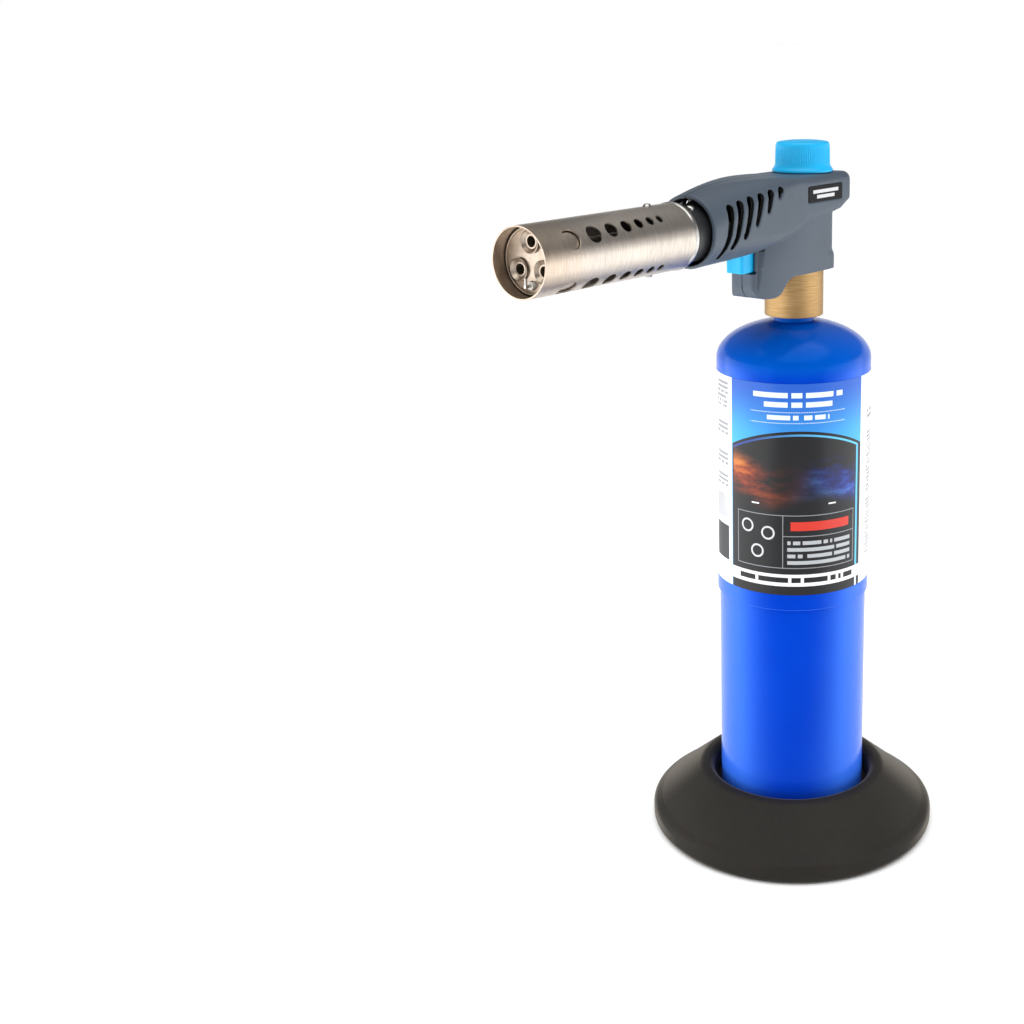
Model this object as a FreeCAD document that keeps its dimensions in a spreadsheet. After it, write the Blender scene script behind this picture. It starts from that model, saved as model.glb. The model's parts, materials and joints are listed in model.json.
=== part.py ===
import FreeCAD, Part
import Sketcher
import math
import os
from FreeCAD import Placement, Rotation, Vector

# Hand torch on a gas cylinder in a round base. +Z is up, the origin is on the
# cylinder axis where the base meets the table, and the flame tube points to -X.

doc = FreeCAD.newDocument("HandTorch")
sheet = doc.addObject("Spreadsheet::Sheet", "Sizes")

SIZES = {
    # round base
    "base_radius": 72.0,
    "base_edge": 11.5,
    "base_top": 30.0,
    "base_mouth_radius": 40.0,
    "base_floor": 4.0,
    "foot_height": 1.0,
    # gas cylinder
    "lower_radius": 36.4,
    "upper_radius": 37.5,
    "shell_wall": 1.0,
    "joint_height": 127.2,
    "label_bottom": 135.3,
    "label_top": 239.2,
    "shoulder_height": 244.5,
    "dome_rise": 19.5,
    "neck_radius": 9.8,
    "thread_radius": 12.7,
    "thread_pitch": 1.27,
    "boss_top": 278.5,
    # brass inlet, regulator and valve
    "collar_bottom": 265.4,
    "collar_radius": 14.1,
    "collar_top": 290.2,
    "seat_height": 280.5,
    "bell_radius": 13.2,
    "bell_top": 304.5,
    "block_top": 320.0,
    "stem_radius": 2.5,
    # knob
    "knob_offset": 6.7,
    "knob_bottom": 332.9,
    "knob_flange_radius": 14.4,
    "knob_radius": 13.0,
    "knob_height": 14.6,
    # flame tube, measured forward from the cylinder axis
    "tube_height": 312.8,
    "tube_radius": 14.3,
    "tube_wall": 0.6,
    "tube_mouth": 184.8,
    "tube_rear": 91.6,
    "burner_face": 178.6,
    "cup_rear": 160.0,
    "mixer_radius": 5.6,
    "mixer_rear": 66.0,
    "spark_radius": 9.5,
    # housing
    "nose_reach": 82.5,
    "nose_radius": 16.0,
    "nose_lift": 0.6,
    "body_half_width": 17.0,
    "block_half_width": 16.0,
    "body_top": 333.4,
    "body_rear_top": 332.6,
    "body_rear": 24.7,
    "block_rear": 16.6,
    "block_bottom": 287.5,
    "guard_bottom": 278.3,
    "guard_front": 42.0,
    "shell_skin": 2.2,
    # trigger
    "trigger_front": 48.3,
    "trigger_bottom": 291.0,
    "trigger_top": 301.2,
    "trigger_half_width": 4.8,
}


class Dim:
    """A length that carries its value and the sheet expression it comes from."""

    def __init__(self, value, text):
        self.value = value
        self.text = text

    def join(self, other, sign, swap=False):
        other = dim(other)
        first, second = (other, self) if swap else (self, other)
        values = {
            "+": first.value + second.value,
            "-": first.value - second.value,
            "*": first.value * second.value,
        }
        return Dim(values[sign], "(%s %s %s)" % (first.text, sign, second.text))

    def __add__(self, other):
        return self.join(other, "+")

    def __radd__(self, other):
        return self.join(other, "+", swap=True)

    def __sub__(self, other):
        return self.join(other, "-")

    def __rsub__(self, other):
        return self.join(other, "-", swap=True)

    def __mul__(self, other):
        return self.join(other, "*")

    def __rmul__(self, other):
        return self.join(other, "*", swap=True)

    def __neg__(self):
        return self * -1


def dim(number):
    return number if isinstance(number, Dim) else Dim(float(number), "%.6g" % number)


class Sizes:
    pass


size = Sizes()
for row, (alias, value) in enumerate(SIZES.items(), start=1):
    sheet.set("A%d" % row, alias)
    sheet.set("B%d" % row, str(value))
    sheet.setAlias("B%d" % row, alias)
    setattr(size, alias, Dim(value, "Sizes.%s" % alias))
doc.recompute()

UPRIGHT = Rotation()
FORWARD = Rotation(Vector(0, 1, 0), -90)  # local +Z becomes -X, local +X becomes +Z
SIDEWAYS = Rotation(Vector(1, 0, 0), 90)  # local +Z becomes -Y

nodes = {}


def keep(name, obj):
    nodes[name] = obj
    return obj


def place(obj, at=(0, 0, 0), turn=UPRIGHT):
    spot = [dim(value) for value in at]
    obj.Placement = Placement(Vector(*[d.value for d in spot]), turn)
    for letter, d in zip("xyz", spot):
        if "Sizes" in d.text:
            obj.setExpression("Placement.Base.%s" % letter, d.text)
    return obj


def set_dim(obj, prop, number):
    d = dim(number)
    setattr(obj, prop, d.value)
    if "Sizes" in d.text:
        obj.setExpression(prop, d.text)


def rod(name, radius, length, at=(0, 0, 0), turn=UPRIGHT):
    obj = doc.addObject("Part::Cylinder", name)
    set_dim(obj, "Radius", radius)
    set_dim(obj, "Height", length)
    return place(obj, at, turn)


def block(name, spans):
    """A box given as three (low, high) pairs."""
    lows = [dim(low) for low, high in spans]
    highs = [dim(high) for low, high in spans]
    obj = doc.addObject("Part::Box", name)
    for prop, low, high in zip(("Length", "Width", "Height"), lows, highs):
        set_dim(obj, prop, high - low)
    return place(obj, lows)


def egg(name, radius, rise, at):
    """An ellipsoid with a round plan."""
    obj = doc.addObject("Part::Ellipsoid", name)
    set_dim(obj, "Radius1", rise)
    set_dim(obj, "Radius2", radius)
    set_dim(obj, "Radius3", radius)
    return place(obj, at)


def ring(name, radius, thickness, at, turn=UPRIGHT):
    obj = doc.addObject("Part::Torus", name)
    set_dim(obj, "Radius1", radius)
    set_dim(obj, "Radius2", thickness)
    return place(obj, at, turn)


def fuse(name, parts):
    obj = doc.addObject("Part::MultiFuse", name)
    obj.Shapes = parts
    obj.Refine = True
    return obj


def cut(name, base, tools):
    obj = doc.addObject("Part::Cut", name)
    obj.Base = base
    obj.Tool = tools[0] if len(tools) == 1 else fuse(name + "_tools", tools)
    return obj


def group(name, parts):
    obj = doc.addObject("Part::Compound", name)
    obj.Links = parts
    return obj


def origin_plane(body, role):
    for feature in body.Origin.OriginFeatures:
        if feature.Role == role:
            return feature


def outline(body, name, plane, points, offset=0):
    """A closed sketch through points; a third number makes the edge arriving there an arc.

    The arc radius is positive when the arc turns anticlockwise.
    """
    sketch = body.newObject("Sketcher::SketchObject", name)
    sketch.AttachmentSupport = [(origin_plane(body, plane), "")]
    sketch.MapMode = "FlatFace"
    shift = dim(offset)
    sketch.AttachmentOffset = Placement(Vector(0, 0, shift.value), Rotation())
    if "Sizes" in shift.text:
        sketch.setExpression("AttachmentOffset.Base.z", shift.text)
    corners = [(dim(p[0]), dim(p[1])) for p in points]
    spots = [Vector(x.value, y.value, 0) for x, y in corners]
    ends = []
    for i, start in enumerate(spots):
        target = points[(i + 1) % len(points)]
        finish = spots[(i + 1) % len(spots)]
        if len(target) == 2:
            edge = sketch.addGeometry(Part.LineSegment(start, finish), False)
            ends.append((edge, 1, 2))
            continue
        radius = dim(target[2])
        chord = finish - start
        reach = abs(radius.value)
        rise = math.sqrt(max(reach**2 - (chord.Length / 2) ** 2, 0))
        side = Vector(-chord.y, chord.x, 0).normalize()
        centre = (start + finish) * 0.5 + side * rise * math.copysign(1, radius.value)
        first, last = (start, finish) if radius.value > 0 else (finish, start)
        angles = [math.atan2(p.y - centre.y, p.x - centre.x) for p in (first, last)]
        circle = Part.Circle(centre, Vector(0, 0, 1), reach)
        edge = sketch.addGeometry(Part.ArcOfCircle(circle, angles[0], angles[1]), False)
        ends.append((edge, 1, 2) if radius.value > 0 else (edge, 2, 1))
        index = sketch.addConstraint(Sketcher.Constraint("Radius", edge, reach))
        if "Sizes" in radius.text:
            text = radius.text if radius.value > 0 else "(-1 * %s)" % radius.text
            sketch.setExpression("Constraints[%d]" % index, text)
    for i, (edge, begin, end) in enumerate(ends):
        after, after_begin, _ = ends[(i + 1) % len(ends)]
        sketch.addConstraint(Sketcher.Constraint("Coincident", edge, end, after, after_begin))
    for (edge, begin, end), (x, y) in zip(ends, corners):
        for kind, d in (("DistanceX", x), ("DistanceY", y)):
            index = sketch.addConstraint(Sketcher.Constraint(kind, -1, 1, edge, begin, d.value))
            if "Sizes" in d.text:
                sketch.setExpression("Constraints[%d]" % index, d.text)
    sketch.Visibility = False
    return sketch


def new_body(name):
    return doc.addObject("PartDesign::Body", name)


def turned(name, points, at=(0, 0, 0), turn=UPRIGHT):
    """A body of revolution: points are (radius, height) pairs about the local Z axis."""
    body = new_body(name)
    sketch = outline(body, name + "_profile", "XZ_Plane", points)
    feature = body.newObject("PartDesign::Revolution", name + "_turned")
    feature.Profile = sketch
    feature.ReferenceAxis = (sketch, ["V_Axis"])
    feature.Angle = 360
    body.Tip = feature
    return place(body, at, turn)


def pad(body, name, plane, points, length, offset=0, both=False, reverse=False):
    sketch = outline(body, name + "_outline", plane, points, offset)
    feature = body.newObject("PartDesign::Pad", name)
    feature.Profile = sketch
    set_dim(feature, "Length", length)
    feature.Midplane = both
    feature.Reversed = reverse
    body.Tip = feature
    return feature


def pocket(body, name, plane, points, length, offset=0, both=False, reverse=False):
    sketch = outline(body, name + "_outline", plane, points, offset)
    feature = body.newObject("PartDesign::Pocket", name)
    feature.Profile = sketch
    set_dim(feature, "Length", length)
    feature.Midplane = both
    feature.Reversed = reverse
    body.Tip = feature
    return feature


def rectangle(low, high):
    (x0, x1), (y0, y1) = low, high
    return [(x0, y0), (x1, y0), (x1, y1), (x0, y1)]


# ---------------------------------------------------------------- base


def make_base():
    s = size
    grip = s.lower_radius + 0.1
    profile = [
        (24.0, s.foot_height),
        (s.base_radius - 2.0, s.foot_height),
        (s.base_radius, s.foot_height + 2.0, 2.0),
        (s.base_radius, s.base_edge - 3.0),
        (s.base_radius - 2.2, s.base_edge, 3.2),
        (s.base_mouth_radius + 5.0, s.base_top),
        (s.base_mouth_radius, s.base_top - 2.5, 5.8),
        (s.base_mouth_radius, 18.0),
        (grip, 16.0),
        (grip, s.base_floor),
        (24.0, s.base_floor),
    ]
    keep("stand_base", turned("stand_base", profile))
    foot = [
        (s.base_radius - 10.0, 0),
        (s.base_radius - 2.6, 0),
        (s.base_radius - 2.6, s.foot_height),
        (s.base_radius - 10.0, s.foot_height),
    ]
    keep("stand_foot_ring", turned("stand_foot_ring", foot))


# ---------------------------------------------------------------- gas cylinder


def make_lower_shell():
    s = size
    sole = s.base_floor + 0.2
    wall = s.shell_wall
    out = s.lower_radius
    profile = [
        (0, sole + 7.0),
        (16.0, sole + 6.0),
        (26.0, sole + 1.2),
        (29.0, sole),
        (31.0, sole),
        (out, sole + 8.0, 9.6),
        (out, s.joint_height + 7.0),
        (out - wall, s.joint_height + 7.0),
        (out - wall, sole + 8.5),
        (30.4, sole + wall, -8.6),
        (29.4, sole + wall),
        (26.4, sole + 1.2 + wall),
        (16.2, sole + 6.0 + wall),
        (0, sole + 7.0 + wall),
    ]
    keep("cylinder_lower_shell", turned("cylinder_lower_shell", profile))


def make_upper_shell():
    s = size
    outer = s.upper_radius
    inner = s.lower_radius + 0.05
    skirt = rod("upper_skirt", outer, s.shoulder_height - s.joint_height, (0, 0, s.joint_height))
    dome = egg("upper_dome", outer, s.dome_rise, (0, 0, s.shoulder_height))
    tools = [
        rod("upper_bore", inner, s.shoulder_height - s.joint_height, (0, 0, s.joint_height)),
        egg("upper_dome_hollow", inner, s.dome_rise - s.shell_wall, (0, 0, s.shoulder_height)),
        rod("upper_neck_hole", s.neck_radius + 0.02, 12, (0, 0, s.collar_bottom - 10)),
    ]
    shell = cut("cylinder_upper_shell", fuse("upper_outside", [skirt, dome]), tools)
    keep("cylinder_upper_shell", shell)


def make_label():
    s = size
    inside = s.upper_radius + 0.02
    outside = s.upper_radius + 0.17
    profile = rectangle((inside, outside), (s.label_bottom, s.label_top))
    keep("cylinder_label", turned("cylinder_label", profile))


def make_boss():
    """Threaded valve boss: ten V-shaped thread rings above a plain neck."""
    s = size
    start = s.boss_top - 12.2
    root = s.thread_radius - 0.75
    profile = [(3.4, s.collar_bottom - 5.5), (s.neck_radius, s.collar_bottom - 5.5)]
    profile += [(s.neck_radius, start - 0.6), (root, start)]
    for turn in range(9):
        low = start + s.thread_pitch * turn
        profile.append((s.thread_radius, low + 0.6))
        profile.append((root, low + s.thread_pitch))
    profile += [(root, s.boss_top), (3.4, s.boss_top)]
    boss = turned("boss_turned", profile)
    pocket_hole = rod("relief_pocket", 2.02, 8.5, (7.4, 0, s.boss_top - 8))
    keep("cylinder_boss", cut("cylinder_boss", boss, [pocket_hole]))


def make_cylinder_valve():
    s = size
    top = s.boss_top
    core = [
        (1.5, top - 16.5),
        (3.3, top - 16.5),
        (3.3, top - 2.0),
        (1.5, top - 2.0),
        (1.5, top - 4.0),
        (2.7, top - 4.6),
        (2.7, top - 14.5),
        (1.5, top - 14.5),
    ]
    keep("cylinder_valve_core", turned("cylinder_valve_core", core))
    pin = [
        (0, top - 16.2),
        (1.42, top - 16.2),
        (1.42, top - 7.0),
        (2.3, top - 7.0),
        (2.3, top - 5.4),
        (1.42, top - 5.0),
        (1.42, top - 1.3),
        (0, top - 1.3),
    ]
    keep("cylinder_valve_pin", turned("cylinder_valve_pin", pin))
    relief = [(0, top - 7.6), (1.95, top - 7.6), (1.95, top - 0.8), (1.1, top - 0.8)]
    relief += [(1.1, top - 2.0), (0, top - 2.0)]
    keep("relief_valve", turned("relief_valve", relief, at=(7.4, 0, 0)))


def coil(name, radius, wire, length, turns, at, turn=UPRIGHT):
    """A round-wire spring: a helix swept with a circle."""
    helix = Part.makeHelix(length / turns, length, radius)
    section = Part.Wire(Part.makeCircle(wire, Vector(radius, 0, 0), Vector(0, 1, 0)))
    shape = Part.Wire(helix.Edges).makePipeShell([section], True, True)
    obj = doc.addObject("Part::Feature", name)
    obj.Shape = shape
    obj.Placement = Placement(Vector(*[dim(v).value for v in at]), turn)
    return obj


def make_valve_spring():
    top = size.boss_top
    spring = coil("cylinder_valve_spring", 2.0, 0.28, 6.6, 6, (0, 0, top - 14.15))
    keep("cylinder_valve_spring", spring)


# ---------------------------------------------------------------- inlet, regulator, valve


def make_collar():
    s = size
    bore = s.thread_radius + 0.1
    profile = [
        (bore + 0.6, s.collar_bottom),
        (s.collar_radius - 0.4, s.collar_bottom),
        (s.collar_radius, s.collar_bottom + 0.4),
        (s.collar_radius, s.collar_top),
        (11.6, s.collar_top),
        (11.6, s.seat_height + 3.0),
        (3.0, s.seat_height + 3.0),
        (3.0, s.seat_height),
        (bore, s.seat_height),
        (bore, s.collar_bottom + 0.6),
    ]
    keep("brass_collar", turned("brass_collar", profile))
    seal = rectangle((dim(3.6), dim(9.0)), (s.boss_top + 0.1, s.seat_height - 0.1))
    keep("inlet_seal", turned("inlet_seal", seal))
    pusher = [
        (0, s.boss_top - 1.2),
        (1.1, s.boss_top - 1.2),
        (1.1, s.seat_height + 0.2),
        (2.98, s.seat_height + 0.2),
        (2.98, s.seat_height + 1.4),
        (0, s.seat_height + 1.4),
    ]
    keep("valve_depressor", turned("valve_depressor", pusher))
    filter_disc = rectangle((dim(0), dim(2.98)), (s.seat_height + 1.6, s.seat_height + 3.0))
    keep("inlet_filter", turned("inlet_filter", filter_disc))


def make_regulator():
    s = size
    out = s.bell_radius
    profile = [
        (11.0, s.collar_top + 0.1),
        (out, s.collar_top + 0.1),
        (out, s.bell_top - 2.0),
        (out - 2.0, s.bell_top, 2.0),
        (2.0, s.bell_top),
        (2.0, s.bell_top - 1.6),
        (11.0, s.bell_top - 1.6),
    ]
    keep("regulator_bell", turned("regulator_bell", profile))
    disc = [
        (0, s.collar_top - 1.6),
        (6.0, s.collar_top - 1.6),
        (7.0, s.collar_top - 0.9),
        (11.5, s.collar_top - 0.9),
        (11.5, s.collar_top - 0.1),
        (0, s.collar_top - 0.1),
    ]
    keep("regulator_diaphragm", turned("regulator_diaphragm", disc))
    spring = coil("regulator_spring", 7.0, 0.6, 10.6, 5, (0, 0, s.collar_top + 0.75))
    keep("regulator_spring", spring)


def make_valve_block():
    s = size
    x0 = -12.0
    body = block("block_body", [(x0, 13.2), (-9, 9), (s.bell_top + 0.1, s.block_top)])
    bore = rod("block_stem_bore", 2.7, 10.6, (s.knob_offset, 0, s.block_top - 9.6))
    seat = rod("block_needle_bore", 1.2, 6, (s.knob_offset, 0, s.block_top - 14.0))
    inlet = rod("block_inlet", 1.8, 5, (0, 0, s.bell_top))
    outlet = rod("block_outlet", 1.8, 24, (10, 0, s.tube_height), FORWARD)
    socket = rod("block_pipe_socket", 2.65, 5, (x0 + 5, 0, s.tube_height), FORWARD)
    keep("valve_block", cut("valve_block", body, [bore, seat, inlet, outlet, socket]))


def make_stem():
    s = size
    at = (s.knob_offset, 0, 0)
    stem = [
        (1.35, s.block_top - 5.5),
        (s.stem_radius, s.block_top - 5.5),
        (s.stem_radius, s.knob_bottom + 8.0),
        (0, s.knob_bottom + 8.0),
        (0, s.block_top + 2.0),
        (1.35, s.block_top + 2.0),
    ]
    keep("valve_stem", turned("valve_stem", stem, at))
    needle = [
        (0, s.block_top - 13.0),
        (0.5, s.block_top - 13.0),
        (1.15, s.block_top - 10.0),
        (1.15, s.block_top - 8.6),
        (1.3, s.block_top - 8.4),
        (1.3, s.block_top - 1.0),
        (0, s.block_top - 1.0),
    ]
    keep("valve_needle", turned("valve_needle", needle, at))
    nut_body = doc.addObject("Part::Prism", "nut_hexagon")
    nut_body.Polygon = 6
    nut_body.Circumradius = 6.6
    nut_body.Height = 5.0
    place(nut_body, (s.knob_offset, 0, s.block_top + 0.1))
    bore = rod("nut_bore", s.stem_radius + 0.1, 6, (s.knob_offset, 0, s.block_top))
    groove = rod("nut_groove", 4.1, 1.8, (s.knob_offset, 0, s.block_top + 1.5))
    keep("packing_nut", cut("packing_nut", nut_body, [bore, groove]))
    seal = ring("stem_o_ring", 3.3, 0.75, (s.knob_offset, 0, s.block_top + 2.4))
    keep("stem_o_ring", seal)


def make_knob():
    """Knob with a flared foot, a domed top and a ring of fine grip grooves."""
    s = size
    low = s.knob_bottom
    high = s.knob_bottom + s.knob_height
    profile = [
        (4.0, low),
        (6.0, low),
        (6.0, low + 10.4),
        (11.2, low + 10.4),
        (11.6, low),
        (s.knob_flange_radius, low),
        (s.knob_flange_radius, low + 1.2),
        (s.knob_radius, low + 3.6, -3.2),
        (s.knob_radius - 0.2, high - 3.0),
        (s.knob_radius - 1.9, high - 1.0, 2.2),
        (8.0, high - 0.45),
        (4.0, high - 0.1),
        (0, high),
        (0, low + 11.6),
        (4.0, low + 11.6),
    ]
    blank = turned("knob_blank", profile, at=(s.knob_offset, 0, 0))
    grooves = []
    count = 60
    for i in range(count):
        angle = 2 * math.pi * i / count
        spot = (s.knob_offset + 13.1 * math.cos(angle), 13.1 * math.sin(angle), low + 3.8)
        grooves.append(rod("knob_groove_%02d" % i, 0.5, 7.6, spot))
    keep("control_knob", cut("control_knob", blank, grooves))
    insert = rectangle((s.stem_radius + 0.02, dim(3.97)), (low + 0.3, low + 11.4))
    keep("knob_insert", turned("knob_insert", insert, at=(s.knob_offset, 0, 0)))


# ---------------------------------------------------------------- flame tube and burner

HOLE_REACH = (167.5, 154.3, 143.6, 134.3, 126.3, 119.0, 112.7)
HOLE_DIAMETERS = (9.1, 7.9, 6.6, 5.6, 4.8, 4.2, 3.7)
HOLE_TOP_ANGLE = 53.0
RIVET_REACH = 108.5


def make_flame_tube():
    """Each row of air holes lines up along its upper edge; four rows share the tube."""
    s = size
    out = s.tube_radius
    profile = [
        (out - s.tube_wall, s.tube_rear + 0.4),
        (out, s.tube_rear),
        (out + 0.35, s.tube_rear + 0.6),
        (out + 0.35, s.tube_rear + 1.8),
        (out, s.tube_rear + 2.6),
        (out, s.tube_mouth),
        (out - s.tube_wall, s.tube_mouth),
    ]
    axis_at = (0, 0, s.tube_height)
    blank = turned("tube_blank", profile, axis_at, FORWARD)
    drills = []
    for i, (reach, diameter) in enumerate(zip(HOLE_REACH, HOLE_DIAMETERS)):
        drop = math.degrees(diameter / 2 / s.tube_radius.value)
        for row in (0, 1):
            angle = HOLE_TOP_ANGLE - drop + 90 * row
            lean = Rotation(Vector(1, 0, 0), 90 - angle)
            start = Vector(-reach, 0, s.tube_height.value) + lean.multVec(Vector(0, 0, -20))
            drill = rod("tube_drill_%d_%d" % (i, row), diameter / 2, 40)
            drill.Placement = Placement(start, lean)
            drills.append(drill)
    drills.append(rod("tube_rivet_hole", 0.92, 40, (-RIVET_REACH, 0, s.tube_height - 20)))
    keep("flame_tube", cut("flame_tube", blank, drills))
    rivet = [(0, -1.4), (0.9, -1.4), (0.9, 0.1), (1.9, 0.1), (1.3, 1.0), (0, 1.2)]
    top = turned("rivet_top", rivet, (-RIVET_REACH, 0, s.tube_height + out))
    under = turned("rivet_under", rivet, (-RIVET_REACH, 0, s.tube_height - out))
    under.Placement = Placement(under.Placement.Base, Rotation(Vector(1, 0, 0), 180))
    keep("tube_rivets", group("tube_rivets", [top, under]))


def spark_hole(name, radius, start, length):
    s = size
    return rod(name, radius, length, (-1 * start, 0, s.tube_height - s.spark_radius), FORWARD)


def make_burner():
    s = size
    axis_at = (0, 0, s.tube_height)
    out = s.tube_radius - s.tube_wall - 0.5
    cup = [
        (s.mixer_radius + 0.05, s.cup_rear),
        (out - 2.0, s.cup_rear),
        (out, s.cup_rear + 2.0, 2.0),
        (out, s.burner_face),
        (out - 0.5, s.burner_face),
        (out - 0.5, s.cup_rear + 2.1),
        (out - 2.1, s.cup_rear + 0.5, -1.6),
        (s.mixer_radius + 0.05, s.cup_rear + 0.5),
    ]
    cup_blank = turned("cup_blank", cup, axis_at, FORWARD)
    keep("burner_cup", cut("burner_cup", cup_blank, [spark_hole("cup_spark", 1.9, s.cup_rear - 1, 3)]))

    plate_radius = out - 0.55
    plate = rod("head_plate", plate_radius, 1.6, (-1 * s.burner_face + 2.6, 0, s.tube_height), FORWARD)
    solids = [plate]
    tools = [spark_hole("head_spark", 1.9, s.burner_face - 4, 6)]
    for i, angle in enumerate((90, 210, 330)):
        y = 7.4 * math.cos(math.radians(angle))
        z = 7.4 * math.sin(math.radians(angle))
        spot = (0, y, s.tube_height + z)
        flare = [
            (2.2, s.burner_face - 6.0),
            (3.4, s.burner_face - 6.0),
            (3.4, s.burner_face - 1.4),
            (4.6, s.burner_face),
            (4.2, s.burner_face + 0.3),
            (2.8, s.burner_face - 1.0),
            (2.2, s.burner_face - 2.0),
        ]
        solids.append(turned("head_flare_%d" % i, flare, spot, FORWARD))
        start = (-1 * s.burner_face + 8, y, s.tube_height + z)
        tools.append(rod("head_port_%d" % i, 2.2, 10, start, FORWARD))
    keep("burner_head", cut("burner_head", fuse("head_solid", solids), tools))

    mixer = [
        (s.mixer_radius - 0.6, s.mixer_rear + 0.4),
        (s.mixer_radius, s.mixer_rear),
        (s.mixer_radius, s.cup_rear + 2.0),
        (s.mixer_radius - 0.6, s.cup_rear + 2.0),
    ]
    mixer_blank = turned("mixer_blank", mixer, axis_at, FORWARD)
    air_holes = []
    for i, angle in enumerate((45, 135)):
        lean = Rotation(Vector(1, 0, 0), angle)
        start = Vector(-102, 0, s.tube_height.value) + lean.multVec(Vector(0, 0, -8))
        hole = rod("mixer_air_%d" % i, 2.0, 16)
        hole.Placement = Placement(start, lean)
        air_holes.append(hole)
    keep("mixer_tube", cut("mixer_tube", mixer_blank, air_holes))


def make_burner_collar():
    """Dark collar that centres the tube on the mixer; a stepped spigot enters the tube."""
    s = size
    spigot = s.tube_radius - s.tube_wall - 0.05
    profile = [
        (s.mixer_radius + 0.05, s.mixer_rear + 2.0),
        (13.1, s.mixer_rear + 2.0),
        (13.1, s.mixer_rear + 8.0),
        (12.4, s.mixer_rear + 10.0),
        (12.4, s.tube_rear - 1.5),
        (13.2, s.tube_rear - 0.3),
        (spigot, s.tube_rear + 0.8),
        (spigot, s.tube_rear + 7.0),
        (s.mixer_radius + 0.05, s.tube_rear + 7.0),
    ]
    blank = turned("collar_blank", profile, (0, 0, s.tube_height), FORWARD)
    tools = [spark_hole("collar_spark", 1.75, s.mixer_rear - 2, 40)]
    for side in (-1, 1):
        tools.append(block("collar_air_%d" % (side + 1), [(-87.2, -85.2), (8 * side - 5, 8 * side + 5),
                                                          (s.tube_height - 3.4, s.tube_height - 1.4)]))
    keep("burner_collar", cut("burner_collar", blank, tools))
    screws = []
    for i, side in enumerate((-1, 1)):
        lean = Rotation(Vector(1, 0, 0), -24 * side)
        base = Vector(-85.8, 0, s.tube_height.value) + lean.multVec(Vector(0, 0, 12.45))
        head = turned("collar_screw_%d" % i, [(0, 0), (1.7, 0), (1.7, 0.9), (1.1, 1.3), (0, 1.3)])
        head.Placement = Placement(base, lean)
        screws.append(head)
    keep("collar_screws", group("collar_screws", screws))


def make_spark_parts():
    s = size
    at = (0, 0, s.tube_height - s.spark_radius)
    ceramic = [
        (0.72, s.mixer_rear - 2.0),
        (1.6, s.mixer_rear - 2.0),
        (1.6, s.burner_face + 0.6),
        (0.72, s.burner_face + 0.6),
    ]
    keep("electrode_ceramic", turned("electrode_ceramic", ceramic, at, FORWARD))
    rod_profile = rectangle((dim(0), dim(0.65)), (s.mixer_rear - 4.0, s.burner_face + 3.4))
    straight = turned("electrode_rod", rod_profile, at, FORWARD)
    tip = rod("electrode_tip", 0.6, 3.2, (-1 * s.burner_face - 2.8, 0, s.tube_height - s.spark_radius))
    keep("electrode", fuse("electrode", [straight, tip]))


def make_gas_pipe():
    s = size
    start = 7.05
    pipe = [
        (1.7, start),
        (2.6, start),
        (2.6, s.mixer_rear - 9.0),
        (1.7, s.mixer_rear - 9.0),
    ]
    keep("gas_pipe", turned("gas_pipe", pipe, (0, 0, s.tube_height), FORWARD))
    jet = [
        (2.65, s.mixer_rear - 11.0),
        (4.2, s.mixer_rear - 11.0),
        (4.2, s.mixer_rear - 4.0),
        (2.0, s.mixer_rear - 1.0),
        (0.4, s.mixer_rear - 1.0),
        (0.4, s.mixer_rear - 4.0),
        (1.7, s.mixer_rear - 8.9),
        (2.65, s.mixer_rear - 8.9),
    ]
    keep("gas_jet", turned("gas_jet", jet, (0, 0, s.tube_height), FORWARD))


# ---------------------------------------------------------------- trigger and igniter


def make_trigger():
    """A hollow push button with a rounded, finger-hollowed front."""
    s = size
    body = new_body("trigger_button")
    half = s.trigger_half_width
    rear = -1 * s.guard_front + 6.4
    plan = [
        (-1 * s.trigger_front + 1.4, -1 * half, 1.6),
        (rear, -1 * half),
        (rear, half),
        (-1 * s.trigger_front + 1.4, half),
        (-1 * s.trigger_front, half - 1.6, 1.6),
        (-1 * s.trigger_front, -1 * half + 1.6, -16.0),
    ]
    pad(body, "trigger_block", "XY_Plane", plan, s.trigger_top - s.trigger_bottom, s.trigger_bottom)
    hollow = rectangle(
        (-1 * s.trigger_front + 3.0, rear + 1.0),
        (-1 * half + 1.2, half - 1.2),
    )
    pocket(body, "trigger_hollow", "XY_Plane", hollow, s.trigger_top - s.trigger_bottom - 2.4,
           s.trigger_top - 1.2)
    keep("trigger_button", body)


def make_igniter():
    s = size
    middle = s.trigger_bottom + 4.1
    case_front = -1 * s.guard_front + 13.6
    case = block("igniter_case", [(case_front, -15.6), (-4.2, 4.2), (middle - 4.0, middle + 4.0)])
    bore = rod("igniter_bore", 2.6, 12, (case_front + 9.8, 0, middle), FORWARD)
    keep("igniter_body", cut("igniter_body", case, [bore]))
    plunger = [
        (0, s.guard_front - 18.6),
        (2.5, s.guard_front - 18.6),
        (2.5, s.guard_front - 6.5),
        (0, s.guard_front - 6.5),
    ]
    keep("igniter_plunger", turned("igniter_plunger", plunger, (0, 0, middle), FORWARD))
    spring = coil("trigger_spring", 3.3, 0.35, 6.0, 5, (case_front - 0.4, 0, middle), FORWARD)
    keep("trigger_spring", spring)


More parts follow.
